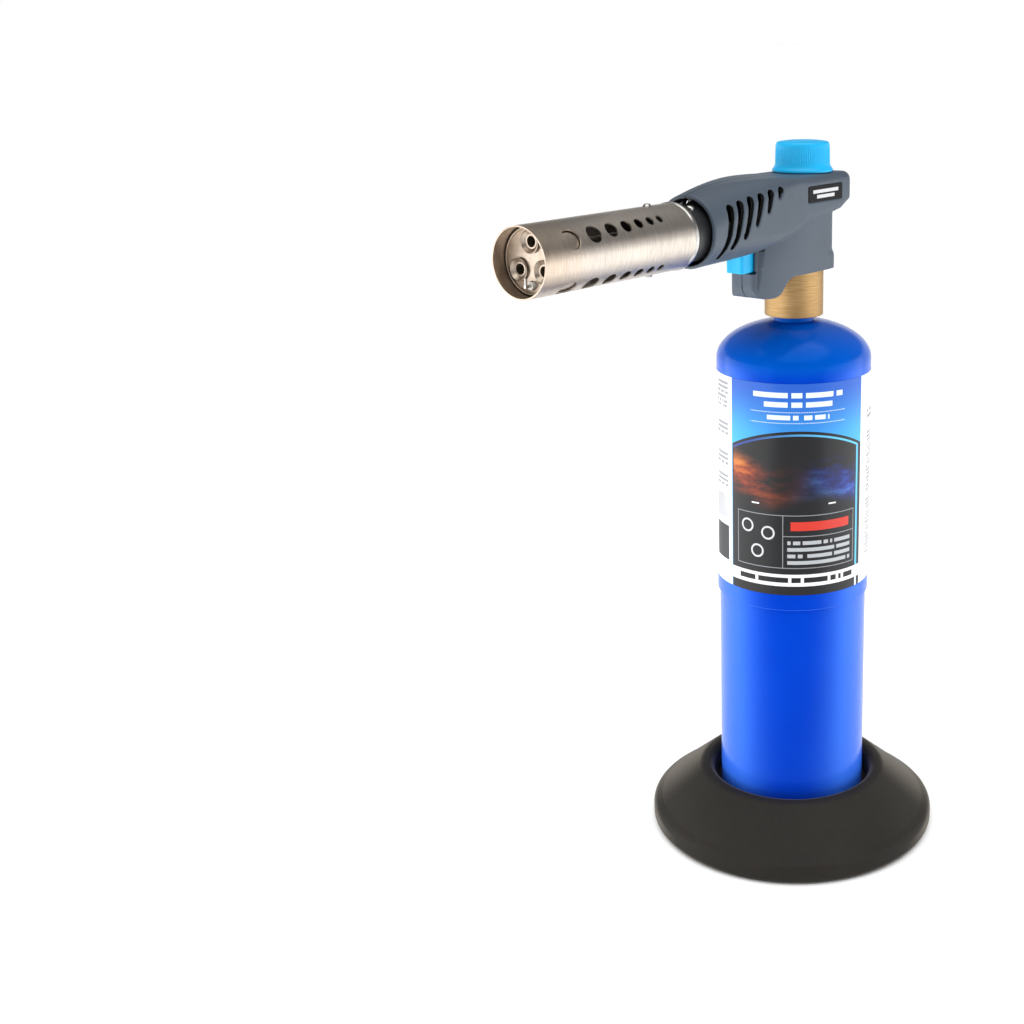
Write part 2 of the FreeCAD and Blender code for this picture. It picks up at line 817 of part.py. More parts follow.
def make_wire():
    """The igniter lead, a swept round section from the igniter to the electrode."""
    s = size
    middle = s.trigger_bottom.value + 4.1
    spark = s.tube_height.value - s.spark_radius.value
    points = [
        Vector(-17.5, 4.5, middle + 1.0),
        Vector(-18.0, 7.2, middle + 2.5),
        Vector(-24.0, 7.6, spark - 1.0),
        Vector(-36.0, 4.4, spark + 2.6),
        Vector(-50.0, 2.4, spark + 1.6),
        Vector(-58.0, 0.6, spark),
        Vector(-61.7, 0.0, spark),
    ]
    curve = Part.BSplineCurve()
    curve.interpolate(points)
    path = Part.Wire(curve.toShape())
    start_dir = curve.tangent(curve.FirstParameter)[0]
    section = Part.Wire(Part.makeCircle(1.0, points[0], start_dir))
    obj = doc.addObject("Part::Feature", "igniter_lead")
    obj.Shape = path.makePipeShell([section], True, True)
    keep("igniter_lead", obj)


# ---------------------------------------------------------------- housing

# Vent slots seen from the side: forward distance and height above the tube axis of the
# top end and of the bottom end of each slot, and how far it bows towards the rear.
VENTS = (
    (70.4, 10.0, 74.9, -9.8, 0.5),
    (63.8, 11.2, 68.5, -6.2, 0.9),
    (56.8, 12.4, 61.0, -2.5, 0.8),
    (49.6, 13.2, 52.6, 2.3, 0.4),
    (42.6, 14.2, 44.2, 7.1, 0.2),
    (35.3, 14.9, 35.9, 12.8, 0.0),
)

VENT_WIDTH = 4.2
VENT_TAPER = 0.62
BODY_SCREWS = ((-25.0, 15.0), (17.2, 14.4))
BODY_SCREW_SEAT = 13.8
GUARD_SCREW = (-36.4, -28.8)
GUARD_SCREW_SEAT = 5.0


# Front and rear ends of the sweep between the guard's foot and the block's underside.
COVE_FRONT = -33.0
COVE_REAR = -19.0


def half_section(half, low, high, top_radius, low_radius, side):
    """Half of a rounded rectangle across the body, closed on the seam plane."""
    return [
        (0, low),
        (side * (half - low_radius), low),
        (side * half, low + low_radius, side * low_radius),
        (side * half, high - top_radius),
        (side * (half - top_radius), high, side * top_radius),
        (0, high),
    ]


def add_nose(body, side, skin, front):
    """The round nose grows into the squarer rear body."""
    s = size
    low = s.tube_height + s.nose_lift - s.nose_radius
    high = s.tube_height + s.nose_lift + s.nose_radius
    round_nose = s.nose_radius - 0.2
    stations = [
        (front, s.nose_radius, low, high, round_nose, round_nose),
        (-62.0, s.nose_radius + 0.4, low + 1.4, s.body_top - 0.8, dim(13.0), dim(13.0)),
        (-38.0, s.body_half_width, low + 5.0, s.body_top, dim(7.0), dim(7.0)),
        (-12.0, s.body_half_width, low + 14.2, s.body_rear_top, dim(4.0), dim(3.0)),
    ]
    sketches = []
    for i, (reach, half, bottom, top, top_radius, low_radius) in enumerate(stations):
        points = half_section(half - skin, bottom + skin, top - skin, top_radius - skin,
                              low_radius - skin, side)
        sketches.append(outline(body, "%s_section_%d" % (body.Name, i), "YZ_Plane", points, reach))
    feature = body.newObject("PartDesign::AdditiveLoft", body.Name + "_loft")
    feature.Profile = sketches[0]
    feature.Sections = sketches[1:]
    feature.Ruled = False
    body.Tip = feature


def add_lower_block(body, side, skin):
    """Narrow at the trigger guard, round behind the collar, with a sweeping cove under it."""
    s = size
    w = s.block_half_width - skin
    front = -1 * s.guard_front + skin
    rear = s.block_rear - skin
    corner = 9.0 - skin
    plan = [
        (front, 0),
        (rear, 0),
        (rear, side * (w - corner)),
        (rear - corner, side * w, side * corner),
        (-8.0, side * w),
        (front + 1.6, side * (7.0 - skin * 0.57), side * (62.8 - skin)),
        (front, side * (4.6 - skin * 0.4), side * 3.0),
    ]
    pad(body, body.Name + "_block", "XY_Plane", plan, 36.5 + skin * 1.5, s.guard_bottom + skin)
    floor = s.block_bottom + skin
    foot = s.guard_bottom + skin
    run = COVE_REAR - COVE_FRONT
    bend = 2 * math.atan((s.block_bottom.value - s.guard_bottom.value) / run)
    hollow = run / math.sin(bend) * 0.54
    swell = run / math.sin(bend) * 0.46
    reach = hollow + skin.value
    join_x = COVE_REAR - reach * math.sin(bend)
    join_z = s.block_bottom - hollow + reach * math.cos(bend)
    cove = [
        (COVE_FRONT, s.guard_bottom - 5),
        (60, s.guard_bottom - 5),
        (60, floor),
        (COVE_REAR, floor),
        (join_x, join_z, dim(reach)),
        (COVE_FRONT, foot, dim(skin.value - swell)),
    ]
    pocket(body, body.Name + "_cove", "XZ_Plane", cove, 80, both=True)
    toe = 6.5 - skin
    nick = [
        (front - 5, foot - 5),
        (front + toe, foot - 5),
        (front + toe, foot),
        (front, foot + toe, toe * -1),
        (front - 5, foot + toe),
    ]
    pocket(body, body.Name + "_toe", "XZ_Plane", nick, 80, both=True)


def make_upper(name, side, skin):
    """Rear upper body: flat top, upright rear, undercut down to the lower block."""
    s = size
    back = s.body_rear - skin
    profile = [
        (-16.0, s.tube_height - 1.5 + skin),
        (s.block_rear - skin * 1.4, s.tube_height + 2.0 + skin),
        (back, s.tube_height + 6.2 + skin * 0.5),
        (back, s.body_rear_top - skin),
        (-16.0, s.body_rear_top - skin),
    ]
    body = new_body(name)
    wall = pad(body, name + "_side", "XZ_Plane", profile, s.body_half_width - skin, reverse=side > 0)
    doc.recompute()
    rim = side * (s.body_half_width - skin).value
    rim_top = (s.body_rear_top - skin).value
    edges = []
    for i, edge in enumerate(body.Shape.Edges, start=1):
        ends = [v.Point for v in edge.Vertexes]
        on_side = all(abs(p.y - rim) < 1e-6 for p in ends)
        at_front = all(abs(p.x + 16.0) < 1e-6 for p in ends)
        top_rear = all(abs(p.x - back.value) < 1e-6 and p.z > rim_top - 1e-6 for p in ends)
        if (on_side and not at_front) or top_rear:
            edges.append("Edge%d" % i)
    feature = body.newObject("PartDesign::Fillet", name + "_soft_edges")
    feature.Base = (wall, edges)
    set_dim(feature, "Radius", 4.0 - skin)
    body.Tip = feature
    return body


def make_solid_half(name, side, skin, front):
    lower = new_body(name + "_lower")
    add_lower_block(lower, side, skin)
    nose = new_body(name + "_nose")
    add_nose(nose, side, skin, front)
    upper = make_upper(name + "_upper", side, skin)
    return fuse(name, [lower, nose, upper])


def vent_tool(name, vent, side):
    """A bowed, round-ended slot through the side wall, narrower at its lower end."""
    forward_top, rise_top, forward_low, rise_low, bow = vent
    steps = 5
    middle = []
    for i in range(steps + 1):
        t = i / steps
        x = -forward_top - (forward_low - forward_top) * t + bow * 4 * t * (1 - t)
        middle.append(Vector(x, rise_top + (rise_low - rise_top) * t, 0))
    front_edge = []
    rear_edge = []
    for i, spot in enumerate(middle):
        run = (middle[min(i + 1, steps)] - middle[max(i - 1, 0)]).normalize()
        wide = VENT_WIDTH / 2 * (1 - (1 - VENT_TAPER) * i / steps)
        across = Vector(run.y, -run.x, 0) * wide
        front_edge.append(spot + across)
        rear_edge.append(spot - across)
    top_wide = VENT_WIDTH / 2
    low_wide = top_wide * VENT_TAPER
    top_tip = middle[0] - (middle[1] - middle[0]).normalize() * top_wide
    low_tip = middle[-1] + (middle[-1] - middle[-2]).normalize() * low_wide
    points = [(p.x, size.tube_height + p.y) for p in front_edge]
    points.append((low_tip.x, size.tube_height + low_tip.y, low_wide * 1.01))
    points.append((rear_edge[-1].x, size.tube_height + rear_edge[-1].y, low_wide * 1.01))
    points += [(p.x, size.tube_height + p.y) for p in reversed(rear_edge[:-1])]
    points.append((top_tip.x, size.tube_height + top_tip.y, top_wide * 1.01))
    first = points[0]
    points[0] = (first[0], first[1], top_wide * 1.01)
    body = new_body(name)
    pad(body, name + "_slot", "XZ_Plane", points, 14.0, offset=-6.5 * side, reverse=side > 0)
    return body


def side_rod(name, radius, spot, start, finish):
    """A round bar across the body from y = start to y = finish, start above finish."""
    at = (spot[0], start, size.tube_height + spot[1])
    return rod(name, radius, start - finish, at, SIDEWAYS)


def make_housing():
    s = size
    half = s.trigger_half_width + 0.25
    for name, side in (("housing_left", -1), ("housing_right", 1)):
        outer = make_solid_half(name + "_outer", side, dim(0), -1 * s.nose_reach)
        inner = make_solid_half(name + "_inner", side, s.shell_skin, -2.0 - s.nose_reach)
        hollow = cut(name + "_hollow", outer, [inner])
        bosses = []
        holes = []
        spots = [(spot, BODY_SCREW_SEAT, 15.4) for spot in BODY_SCREWS]
        spots.append((GUARD_SCREW, GUARD_SCREW_SEAT, 8.0))
        for i, (spot, seat, wall) in enumerate(spots):
            tag = "%s_boss_%d" % (name, i)
            if side < 0:
                bosses.append(side_rod(tag, 2.8, spot, 0, -wall))
                holes.append(side_rod(tag + "_pilot", 1.2, spot, 1, -seat + 2.0))
            else:
                bosses.append(side_rod(tag, 2.8 if seat < 8 else 3.6, spot, wall, 0))
                holes.append(side_rod(tag + "_bore", 1.4, spot, 30, -1))
                holes.append(side_rod(tag + "_sink", 2.75, spot, 30, seat))
        holes.append(rod(name + "_collar_hole", s.collar_radius + 0.3, 14, (0, 0, s.collar_top - 13.5)))
        holes.append(rod(name + "_nose_bore", 13.8, 16, (-68, 0, s.tube_height), FORWARD))
        holes.append(rod(name + "_stem_hole", 4.0, 10, (s.knob_offset, 0, s.body_rear_top - 6)))
        trigger_room = (s.trigger_bottom - 0.3, s.trigger_top + 0.3)
        holes.append(block(name + "_trigger_hole", [(-50, -36.5), (-1 * half, half), trigger_room]))
        holes.append(block(name + "_trigger_notch", [(-46, -40.2), (-9, 9), trigger_room]))
        for i, vent in enumerate(VENTS):
            holes.append(vent_tool("%s_vent_%d" % (name, i), vent, side))
        if side < 0:
            holes.append(block("badge_recess", [(-13.4, 15.1), (-18, -16.45),
                                                (s.tube_height + 7.5, s.tube_height + 15.1)]))
        keep(name, cut(name, fuse(name + "_bossed", [hollow] + bosses), holes))


def make_badge():
    s = size
    spans = [(-13.2, 14.9), (-17.15, -16.5), (s.tube_height + 7.7, s.tube_height + 14.9)]
    keep("side_badge", block("side_badge", spans))


def screw(name, spot, seat, length):
    """Pan-head screw driven in from +Y."""
    profile = [(0, -length), (1.15, -length), (1.15, 0), (2.6, 0), (2.6, 1.1), (1.6, 1.8)]
    profile += [(0.7, 1.8), (0.7, 0.9), (0, 0.9)]
    at = (spot[0], seat, size.tube_height + spot[1])
    return turned(name, profile, at, Rotation(Vector(1, 0, 0), -90))


def make_screws():
    screws = [screw("body_screw_%d" % i, spot, BODY_SCREW_SEAT, 20.0)
              for i, spot in enumerate(BODY_SCREWS)]
    keep("housing_screws", group("housing_screws", screws))
    keep("guard_screw", screw("guard_screw", GUARD_SCREW, GUARD_SCREW_SEAT, 7.6))


def write_nodes():
    doc.recompute()
    for obj in doc.Objects:
        if "Invalid" in obj.State or "Error" in obj.State:
            raise RuntimeError("%s is not valid" % obj.Name)
    os.makedirs("parts", exist_ok=True)
    for name, obj in nodes.items():
        shape = obj.Shape
        if shape.isNull() or not shape.isValid():
            raise RuntimeError("%s has no valid shape" % name)
        shape.exportStep("parts/%s.step" % name)
        box = shape.BoundBox
        print("%-22s solids %d  volume %10.1f  x %.1f..%.1f  y %.1f..%.1f  z %.1f..%.1f" % (
            name, len(shape.Solids), shape.Volume, box.XMin, box.XMax, box.YMin, box.YMax,
            box.ZMin, box.ZMax))


make_base()
make_lower_shell()
make_upper_shell()
make_label()
make_boss()
make_cylinder_valve()
make_valve_spring()
make_collar()
make_regulator()
make_valve_block()
make_stem()
make_knob()
make_flame_tube()
make_burner()
make_burner_collar()
make_spark_parts()
make_gas_pipe()
make_trigger()
make_igniter()
make_wire()
make_housing()
make_badge()
make_screws()
write_nodes()
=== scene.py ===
"""Looks of the hand torch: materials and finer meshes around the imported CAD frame.

Lengths are in millimetres in the row frame until a mesh is made, which is in metres.
+Z is up along the cylinder, -X is forward along the flame tube, -Y is the badge side.
"""

import json
import math

import bmesh
import bpy
from mathutils import Matrix, Vector, geometry


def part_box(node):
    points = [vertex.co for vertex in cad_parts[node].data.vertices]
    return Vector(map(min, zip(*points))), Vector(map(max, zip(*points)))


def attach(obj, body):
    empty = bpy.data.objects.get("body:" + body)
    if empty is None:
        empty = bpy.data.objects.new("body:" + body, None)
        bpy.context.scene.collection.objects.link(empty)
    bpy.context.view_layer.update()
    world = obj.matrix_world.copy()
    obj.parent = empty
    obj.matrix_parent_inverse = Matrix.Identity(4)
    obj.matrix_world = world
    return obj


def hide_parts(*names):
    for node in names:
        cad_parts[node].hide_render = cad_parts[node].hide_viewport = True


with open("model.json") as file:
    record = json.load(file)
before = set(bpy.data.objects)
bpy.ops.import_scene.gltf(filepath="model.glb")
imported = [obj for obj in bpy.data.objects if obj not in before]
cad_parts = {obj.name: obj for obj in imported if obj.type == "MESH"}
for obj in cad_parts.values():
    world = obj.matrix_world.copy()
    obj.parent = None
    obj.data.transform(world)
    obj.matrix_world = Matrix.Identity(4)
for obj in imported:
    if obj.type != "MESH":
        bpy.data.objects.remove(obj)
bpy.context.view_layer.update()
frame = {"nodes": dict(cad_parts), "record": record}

MM = 0.001


def span(node):
    """Lowest and highest corners of a CAD node, in millimetres."""
    low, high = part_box(node)
    return low / MM, high / MM


# ---------------------------------------------------------------- sizes from the frame

base_low, base_high = span("stand_base")
foot_low, foot_high = span("stand_foot_ring")
lower_low, lower_high = span("cylinder_lower_shell")
upper_low, upper_high = span("cylinder_upper_shell")
label_low, label_high = span("cylinder_label")
boss_low, boss_high = span("cylinder_boss")
collar_low, collar_high = span("brass_collar")
knob_low, knob_high = span("control_knob")
tube_low, tube_high = span("flame_tube")
cup_low, cup_high = span("burner_cup")
_, dark_high = span("burner_collar")
mixer_low, mixer_high = span("mixer_tube")
badge_low, badge_high = span("side_badge")

base_radius = base_high.x
lower_radius = lower_high.x
upper_radius = upper_high.x
label_radius = label_high.x
collar_radius = collar_high.x
knob_centre = (knob_low + knob_high) / 2
tube_axis_height = (tube_low.z + tube_high.z) / 2
tube_radius = 14.3
tube_wall = 0.6
tube_mouth = -tube_low.x
tube_rear = -tube_high.x
burner_face = -cup_low.x
cup_rear = -cup_high.x
mixer_radius = mixer_high.y

# ---------------------------------------------------------------- mesh helpers


def rounded(points, steps=5):
    """A closed outline whose corners with a third number are rounded to that radius."""
    made = []
    count = len(points)
    for i, point in enumerate(points):
        corner = Vector(point[:2])
        if len(point) == 2:
            made.append(corner)
            continue
        before = Vector(points[i - 1][:2]) - corner
        after = Vector(points[(i + 1) % count][:2]) - corner
        half = before.angle(after) / 2
        reach = min(point[2] / math.tan(half), before.length * 0.48, after.length * 0.48)
        radius = reach * math.tan(half)
        middle = (before.normalized() + after.normalized()).normalized()
        centre = corner + middle * (radius / math.sin(half))
        start = corner + before.normalized() * reach - centre
        finish = corner + after.normalized() * reach - centre
        turn = start.angle_signed(finish)
        for k in range(steps + 1):
            spin = Matrix.Rotation(-turn * k / steps, 2)
            made.append(centre + spin @ start)
    return made


def finished(name, mesh, material, body, replaced=(), sharp=32.0):
    """Turns a mesh in row-frame metres into a shaded piece that rides on a body."""
    mesh.shade_smooth()
    mesh.set_sharp_from_angle(angle=math.radians(sharp))
    piece = bpy.data.objects.new(name, mesh)
    bpy.context.scene.collection.objects.link(piece)
    mesh.materials.clear()
    mesh.materials.append(material)
    normals = piece.modifiers.new("even_normals", "WEIGHTED_NORMAL")
    normals.keep_sharp = True
    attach(piece, body)
    if replaced:
        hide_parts(*replaced)
    return piece


def mesh_from(name, work):
    """Closes a bmesh that is in millimetres into a mesh in metres."""
    bmesh.ops.remove_doubles(work, verts=work.verts, dist=1e-4)
    bmesh.ops.recalc_face_normals(work, faces=work.faces)
    bmesh.ops.scale(work, vec=(MM, MM, MM), verts=work.verts)
    mesh = bpy.data.meshes.new(name)
    work.to_mesh(mesh)
    work.free()
    return mesh


def turned_rings(work, outline, place, segments, radius_at=None):
    """Sweeps a closed outline of (radius, height) points round local Z, then places it."""
    rings = []
    for k in range(segments):
        angle = 2 * math.pi * k / segments
        ring = []
        for radius, height in outline:
            grown = radius_at(radius, height, angle) if radius_at else radius
            spot = Vector((grown * math.cos(angle), grown * math.sin(angle), height))
            ring.append(work.verts.new(place @ spot))
        rings.append(ring)
    count = len(outline)
    for k, ring in enumerate(rings):
        following = rings[(k + 1) % segments]
        for j in range(count):
            n = (j + 1) % count
            if outline[j][0] < 1e-6 and outline[n][0] < 1e-6:
                continue
            work.faces.new((ring[j], ring[n], following[n], following[j]))


UPRIGHT = Matrix.Identity(4)
ALONG_TUBE = Matrix.Translation((0, 0, tube_axis_height)) @ Matrix.Rotation(
    math.radians(-90), 4, "Y"
)


def turned(name, outline, material, body, replaced=(), place=UPRIGHT, segments=160,
           radius_at=None, sharp=32.0):
    """A piece made by turning a closed outline round the cylinder's or the tube's axis."""
    work = bmesh.new()
    turned_rings(work, rounded(outline), place, segments, radius_at)
    bmesh.ops.dissolve_degenerate(work, edges=work.edges, dist=1e-5)
    mesh = mesh_from(name, work)
    return finished(name, mesh, material, body, replaced, sharp)


def arc(centre, radius, start, finish, steps):
    """Points on an arc, angles in degrees."""
    made = []
    for k in range(steps + 1):
        angle = math.radians(start + (finish - start) * k / steps)
        made.append((centre[0] + radius * math.cos(angle), centre[1] + radius * math.sin(angle)))
    return made


def softened_copy(name, node, voxel, rounds, material, body):
    """A finely remeshed copy of a CAD node with the soft edges of a moulded part."""
    source = frame["nodes"][node]
    mesh = source.data.copy()
    piece = bpy.data.objects.new(name + "_work", mesh)
    bpy.context.scene.collection.objects.link(piece)
    weld = piece.modifiers.new("weld", "WELD")
    weld.merge_threshold = 1e-6
    remesh = piece.modifiers.new("remesh", "REMESH")
    remesh.mode = "VOXEL"
    remesh.voxel_size = voxel * MM
    remesh.adaptivity = 0.0
    smooth = piece.modifiers.new("smooth", "SMOOTH")
    smooth.factor = 0.5
    smooth.iterations = rounds
    ready = piece.evaluated_get(bpy.context.evaluated_depsgraph_get())
    result = bpy.data.meshes.new_from_object(ready)
    result.name = name
    bpy.data.objects.remove(piece)
    result.shade_smooth()
    made = bpy.data.objects.new(name, result)
    bpy.context.scene.collection.objects.link(made)
    result.materials.clear()
    result.materials.append(material)
    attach(made, body)
    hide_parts(node)
    return made


# ---------------------------------------------------------------- material helpers


def srgb(red, green, blue):
    """A colour given the way a colour picker shows it, 0 to 255, as linear RGBA."""
    made = []
    for value in (red, green, blue):
        share = value / 255
        made.append(share / 12.92 if share < 0.04045 else ((share + 0.055) / 1.055) ** 2.4)
    return (*made, 1.0)


class Graph:
    """Builds one material's nodes; the calls that make a node return its output socket."""

    def __init__(self, name, **shader):
        self.material = bpy.data.materials.new(name)
        self.material.use_nodes = True
        self.tree = self.material.node_tree
        self.shader = self.tree.nodes["Principled BSDF"]
        for key, value in shader.items():
            self.shader.inputs[key.replace("_", " ")].default_value = value
        place = self.tree.nodes.new("ShaderNodeTexCoord")
        self.place = place.outputs["Object"]
        self.parts = None

    def feed(self, socket, value):
        """Links an output socket, or sets a plain value."""
        if isinstance(value, bpy.types.NodeSocket):
            self.tree.links.new(value, socket)
        else:
            socket.default_value = value

    def math(self, operation, a, b=0.0, c=0.0):
        """One arithmetic step on sockets or numbers."""
        node = self.tree.nodes.new("ShaderNodeMath")
        node.operation = operation
        for socket, value in zip(node.inputs, (a, b, c)):
            self.feed(socket, value)
        return node.outputs[0]

    def axis(self, name):
        """The x, y or z of the surface point, in metres."""
        if self.parts is None:
            node = self.tree.nodes.new("ShaderNodeSeparateXYZ")
            self.tree.links.new(self.place, node.inputs[0])
            self.parts = {"x": node.outputs[0], "y": node.outputs[1], "z": node.outputs[2]}
        return self.parts[name]

    def vector(self, x, y, z):
        """Three sockets or numbers as one vector."""
        node = self.tree.nodes.new("ShaderNodeCombineXYZ")
        for socket, value in zip(node.inputs, (x, y, z)):
            self.feed(socket, value)
        return node.outputs[0]

    def noise(self, scale, detail=2.0, at=None, roughness=0.5):
        """Noise from 0 to 1; scale is in waves per metre."""
        node = self.tree.nodes.new("ShaderNodeTexNoise")
        node.inputs["Scale"].default_value = scale
        node.inputs["Detail"].default_value = detail
        node.inputs["Roughness"].default_value = roughness
        self.tree.links.new(at or self.place, node.inputs["Vector"])
        return node.outputs["Fac"]

    def ramp(self, value, low, high, from_value, to_value):
        """Maps low..high smoothly onto from_value..to_value."""
        node = self.tree.nodes.new("ShaderNodeMapRange")
        node.interpolation_type = "SMOOTHSTEP"
        for socket, number in zip(node.inputs, (value, low, high, from_value, to_value)):
            self.feed(socket, number)
        return node.outputs[0]

    def between(self, value, low, high):
        """1 where a value lies between two limits, else 0."""
        above = self.math("GREATER_THAN", value, low)
        below = self.math("LESS_THAN", value, high)
        return self.math("MULTIPLY", above, below)

    def facing(self):
        """0 where the surface looks at the viewer, 1 where it is seen edge-on."""
        return self.tree.nodes.new("ShaderNodeLayerWeight").outputs["Facing"]

    def mix(self, share, first, second):
        """The first colour where share is 0, the second where it is 1."""
        node = self.tree.nodes.new("ShaderNodeMix")
        node.data_type = "RGBA"
        self.feed(node.inputs["Factor"], share)
        self.feed(node.inputs[6], first)
        self.feed(node.inputs[7], second)
        return node.outputs[2]

    def edge_wear(self):
        """1 on sharp outer edges, 0 on faces."""
        node = self.tree.nodes.new("ShaderNodeNewGeometry")
        return self.ramp(node.outputs["Pointiness"], 0.53, 0.6, 0.0, 1.0)

    def bump(self, height, strength, distance):
        """A normal raised by a height from 0 to 1; distance is in millimetres."""
        node = self.tree.nodes.new("ShaderNodeBump")
        node.inputs["Strength"].default_value = strength
        node.inputs["Distance"].default_value = distance * MM
        self.tree.links.new(height, node.inputs["Height"])
        return node.outputs[0]

    def paint(self, colour, roughness, normal=None):
        """Connects the surface and gives back the finished material."""
        self.feed(self.shader.inputs["Base Color"], colour)
        self.feed(self.shader.inputs["Roughness"], roughness)
        if normal is not None:
            self.feed(self.shader.inputs["Normal"], normal)
        return self.material


def moulded(name, colour, dark, rough=0.5, grain=0.25, grain_size=2600, **shader):
    """Moulded plastic: fine grain, faint shade variation, slightly polished edges."""
    g = Graph(name, **shader)
    broad = g.noise(22, 3)
    fine = g.noise(grain_size, 2)
    shade = g.mix(g.ramp(broad, 0.3, 0.7, 0.0, 1.0), dark, colour)
    worn = g.math("MULTIPLY", g.edge_wear(), 0.25)
    shade = g.mix(worn, shade, tuple(min(c * 1.7, 1.0) for c in colour[:3]) + (1.0,))
    gloss = g.math("MULTIPLY_ADD", fine, 0.12, rough - 0.06)
    gloss = g.math("MULTIPLY_ADD", broad, 0.06, gloss)
    return g.paint(shade, gloss, g.bump(fine, grain, 0.12))


# Reach of the vents in the housing, in metres: along X, and up from the tube axis. Painted shade
# darkens the inside only ahead of their rear end.
VENTS_REAR = -0.012
VENTS_FRONT = -0.079
VENTS_FOOT = -0.0125


def housing_material():
    """Slate plastic; painted shade darkens the inside and the walls of the vents, and the parting line
    is dark.
    """
    g = Graph("grey_housing", IOR=1.45)
    broad = g.noise(22, 3)
    fine = g.noise(2600, 2)
    tone = g.mix(g.ramp(broad, 0.3, 0.7, 0.0, 1.0), srgb(68, 79, 92), srgb(75, 87, 100))
    tone = g.mix(g.math("MULTIPLY", g.edge_wear(), 0.25), tone, srgb(112, 124, 138))
    normal = g.tree.nodes.new("ShaderNodeSeparateXYZ")
    place = g.tree.nodes.new("ShaderNodeTexCoord")
    g.tree.links.new(place.outputs["Normal"], normal.inputs[0])
    y = g.axis("y")
    rise = g.math("SUBTRACT", g.axis("z"), tube_axis_height * MM)
    reach = g.math("SQRT", g.math("ADD", g.math("MULTIPLY", y, y), g.math("MULTIPLY", rise, rise)))
    outward = g.math("ADD", g.math("MULTIPLY", normal.outputs[1], y),
                     g.math("MULTIPLY", normal.outputs[2], rise))
    outward = g.math("DIVIDE", outward, reach)
    ahead = g.math("LESS_THAN", g.axis("x"), VENTS_REAR)
    # Painted shade: inward-facing walls ahead of the vents' rear end are darkened.
    inside = g.math("MULTIPLY", ahead, g.ramp(outward, -0.2, -0.1, 1.0, 0.0))
    near_vents = g.math("MULTIPLY", ahead, g.math("GREATER_THAN", g.axis("x"), VENTS_FRONT))
    near_vents = g.math("MULTIPLY", near_vents, g.math("GREATER_THAN", rise, VENTS_FOOT))
    # Painted shade on the walls of the vents.
    painted_slot_shade = g.math("MULTIPLY", near_vents, g.ramp(outward, 0.25, 0.4, 1.0, 0.0))
    seam = g.ramp(g.math("ABSOLUTE", y), 0.0001, 0.00028, 1.0, 0.0)
    # Painted shade inside and on the vent walls, with the real dark parting line, all in one
    # near-black.
    painted_shade_and_seam = g.math("MAXIMUM", g.math("MAXIMUM", inside, painted_slot_shade), seam)
    tone = g.mix(painted_shade_and_seam, tone, srgb(9, 10, 12))
    gloss = g.math("MULTIPLY_ADD", fine, 0.12, 0.42)
    return g.paint(tone, gloss, g.bump(fine, 0.2, 0.1))


def base_material():
    """Coarse dark plastic with a painted highlight: paler where it is seen edge-on."""
    g = Graph("base_plastic", IOR=1.25)
    fine = g.noise(1500, 3, roughness=0.7)
    specks = g.noise(4200, 1)
    broad = g.noise(14, 3)
    tone = g.mix(g.ramp(broad, 0.3, 0.7, 0.0, 1.0), srgb(29, 26, 22), srgb(38, 35, 30))
    tone = g.mix(g.ramp(fine, 0.42, 0.64, 0.0, 0.55), tone, srgb(34, 31, 28))
    tone = g.mix(g.ramp(specks, 0.66, 0.74, 0.0, 0.5), tone, srgb(86, 82, 73))
    # Painted highlight: a paler tone where the surface is seen edge-on.
    tone = g.mix(g.ramp(g.facing(), 0.5, 0.85, 0.0, 0.6), tone, srgb(116, 109, 98))
    gloss = g.math("MULTIPLY_ADD", fine, 0.22, 0.5)
    return g.paint(tone, gloss, g.bump(fine, 0.35, 0.14))


# The two blues of the cylinder meet between these heights, in metres.
DOME_BLUE_FROM = 0.238
DOME_BLUE_TO = 0.248


def blue_paint_material():
    """Glossy blue enamel: a deeper blue on the side with a pale painted highlight, a plainer one on the
    dome.
    """
    g = Graph("blue_paint", IOR=1.36, Specular_Tint=srgb(70, 150, 255))
    broad = g.noise(18, 3)
    peel = g.noise(420, 2)
    side = g.mix(g.ramp(broad, 0.3, 0.72, 0.0, 1.0), srgb(0, 52, 182), srgb(0, 60, 192))
    dome = g.mix(g.ramp(broad, 0.3, 0.72, 0.0, 1.0), srgb(0, 76, 178), srgb(0, 84, 192))
    on_dome = g.ramp(g.axis("z"), DOME_BLUE_FROM, DOME_BLUE_TO, 0.0, 1.0)
    tone = g.mix(on_dome, side, dome)
    tall = g.vector(g.axis("x"), g.axis("y"), g.math("MULTIPLY", g.axis("z"), 0.25))
    scuff = g.ramp(g.noise(90, 5, at=tall), 0.66, 0.78, 0.0, 0.3)
    tone = g.mix(scuff, tone, srgb(24, 84, 212))
    on_side = g.math("SUBTRACT", 1.0, on_dome)
    # Painted highlight: a paler blue where the side is seen edge-on, none on the dome.
    painted_sheen = g.math("MULTIPLY", g.ramp(g.facing(), 0.08, 0.4, 0.0, 0.5), on_side)
    tone = g.mix(painted_sheen, tone, srgb(70, 136, 255))
    gloss = g.math("MULTIPLY_ADD", broad, 0.08, 0.16)
    gloss = g.math("MULTIPLY_ADD", scuff, 0.3, gloss)
    return g.paint(tone, gloss, g.bump(peel, 0.05, 0.12))


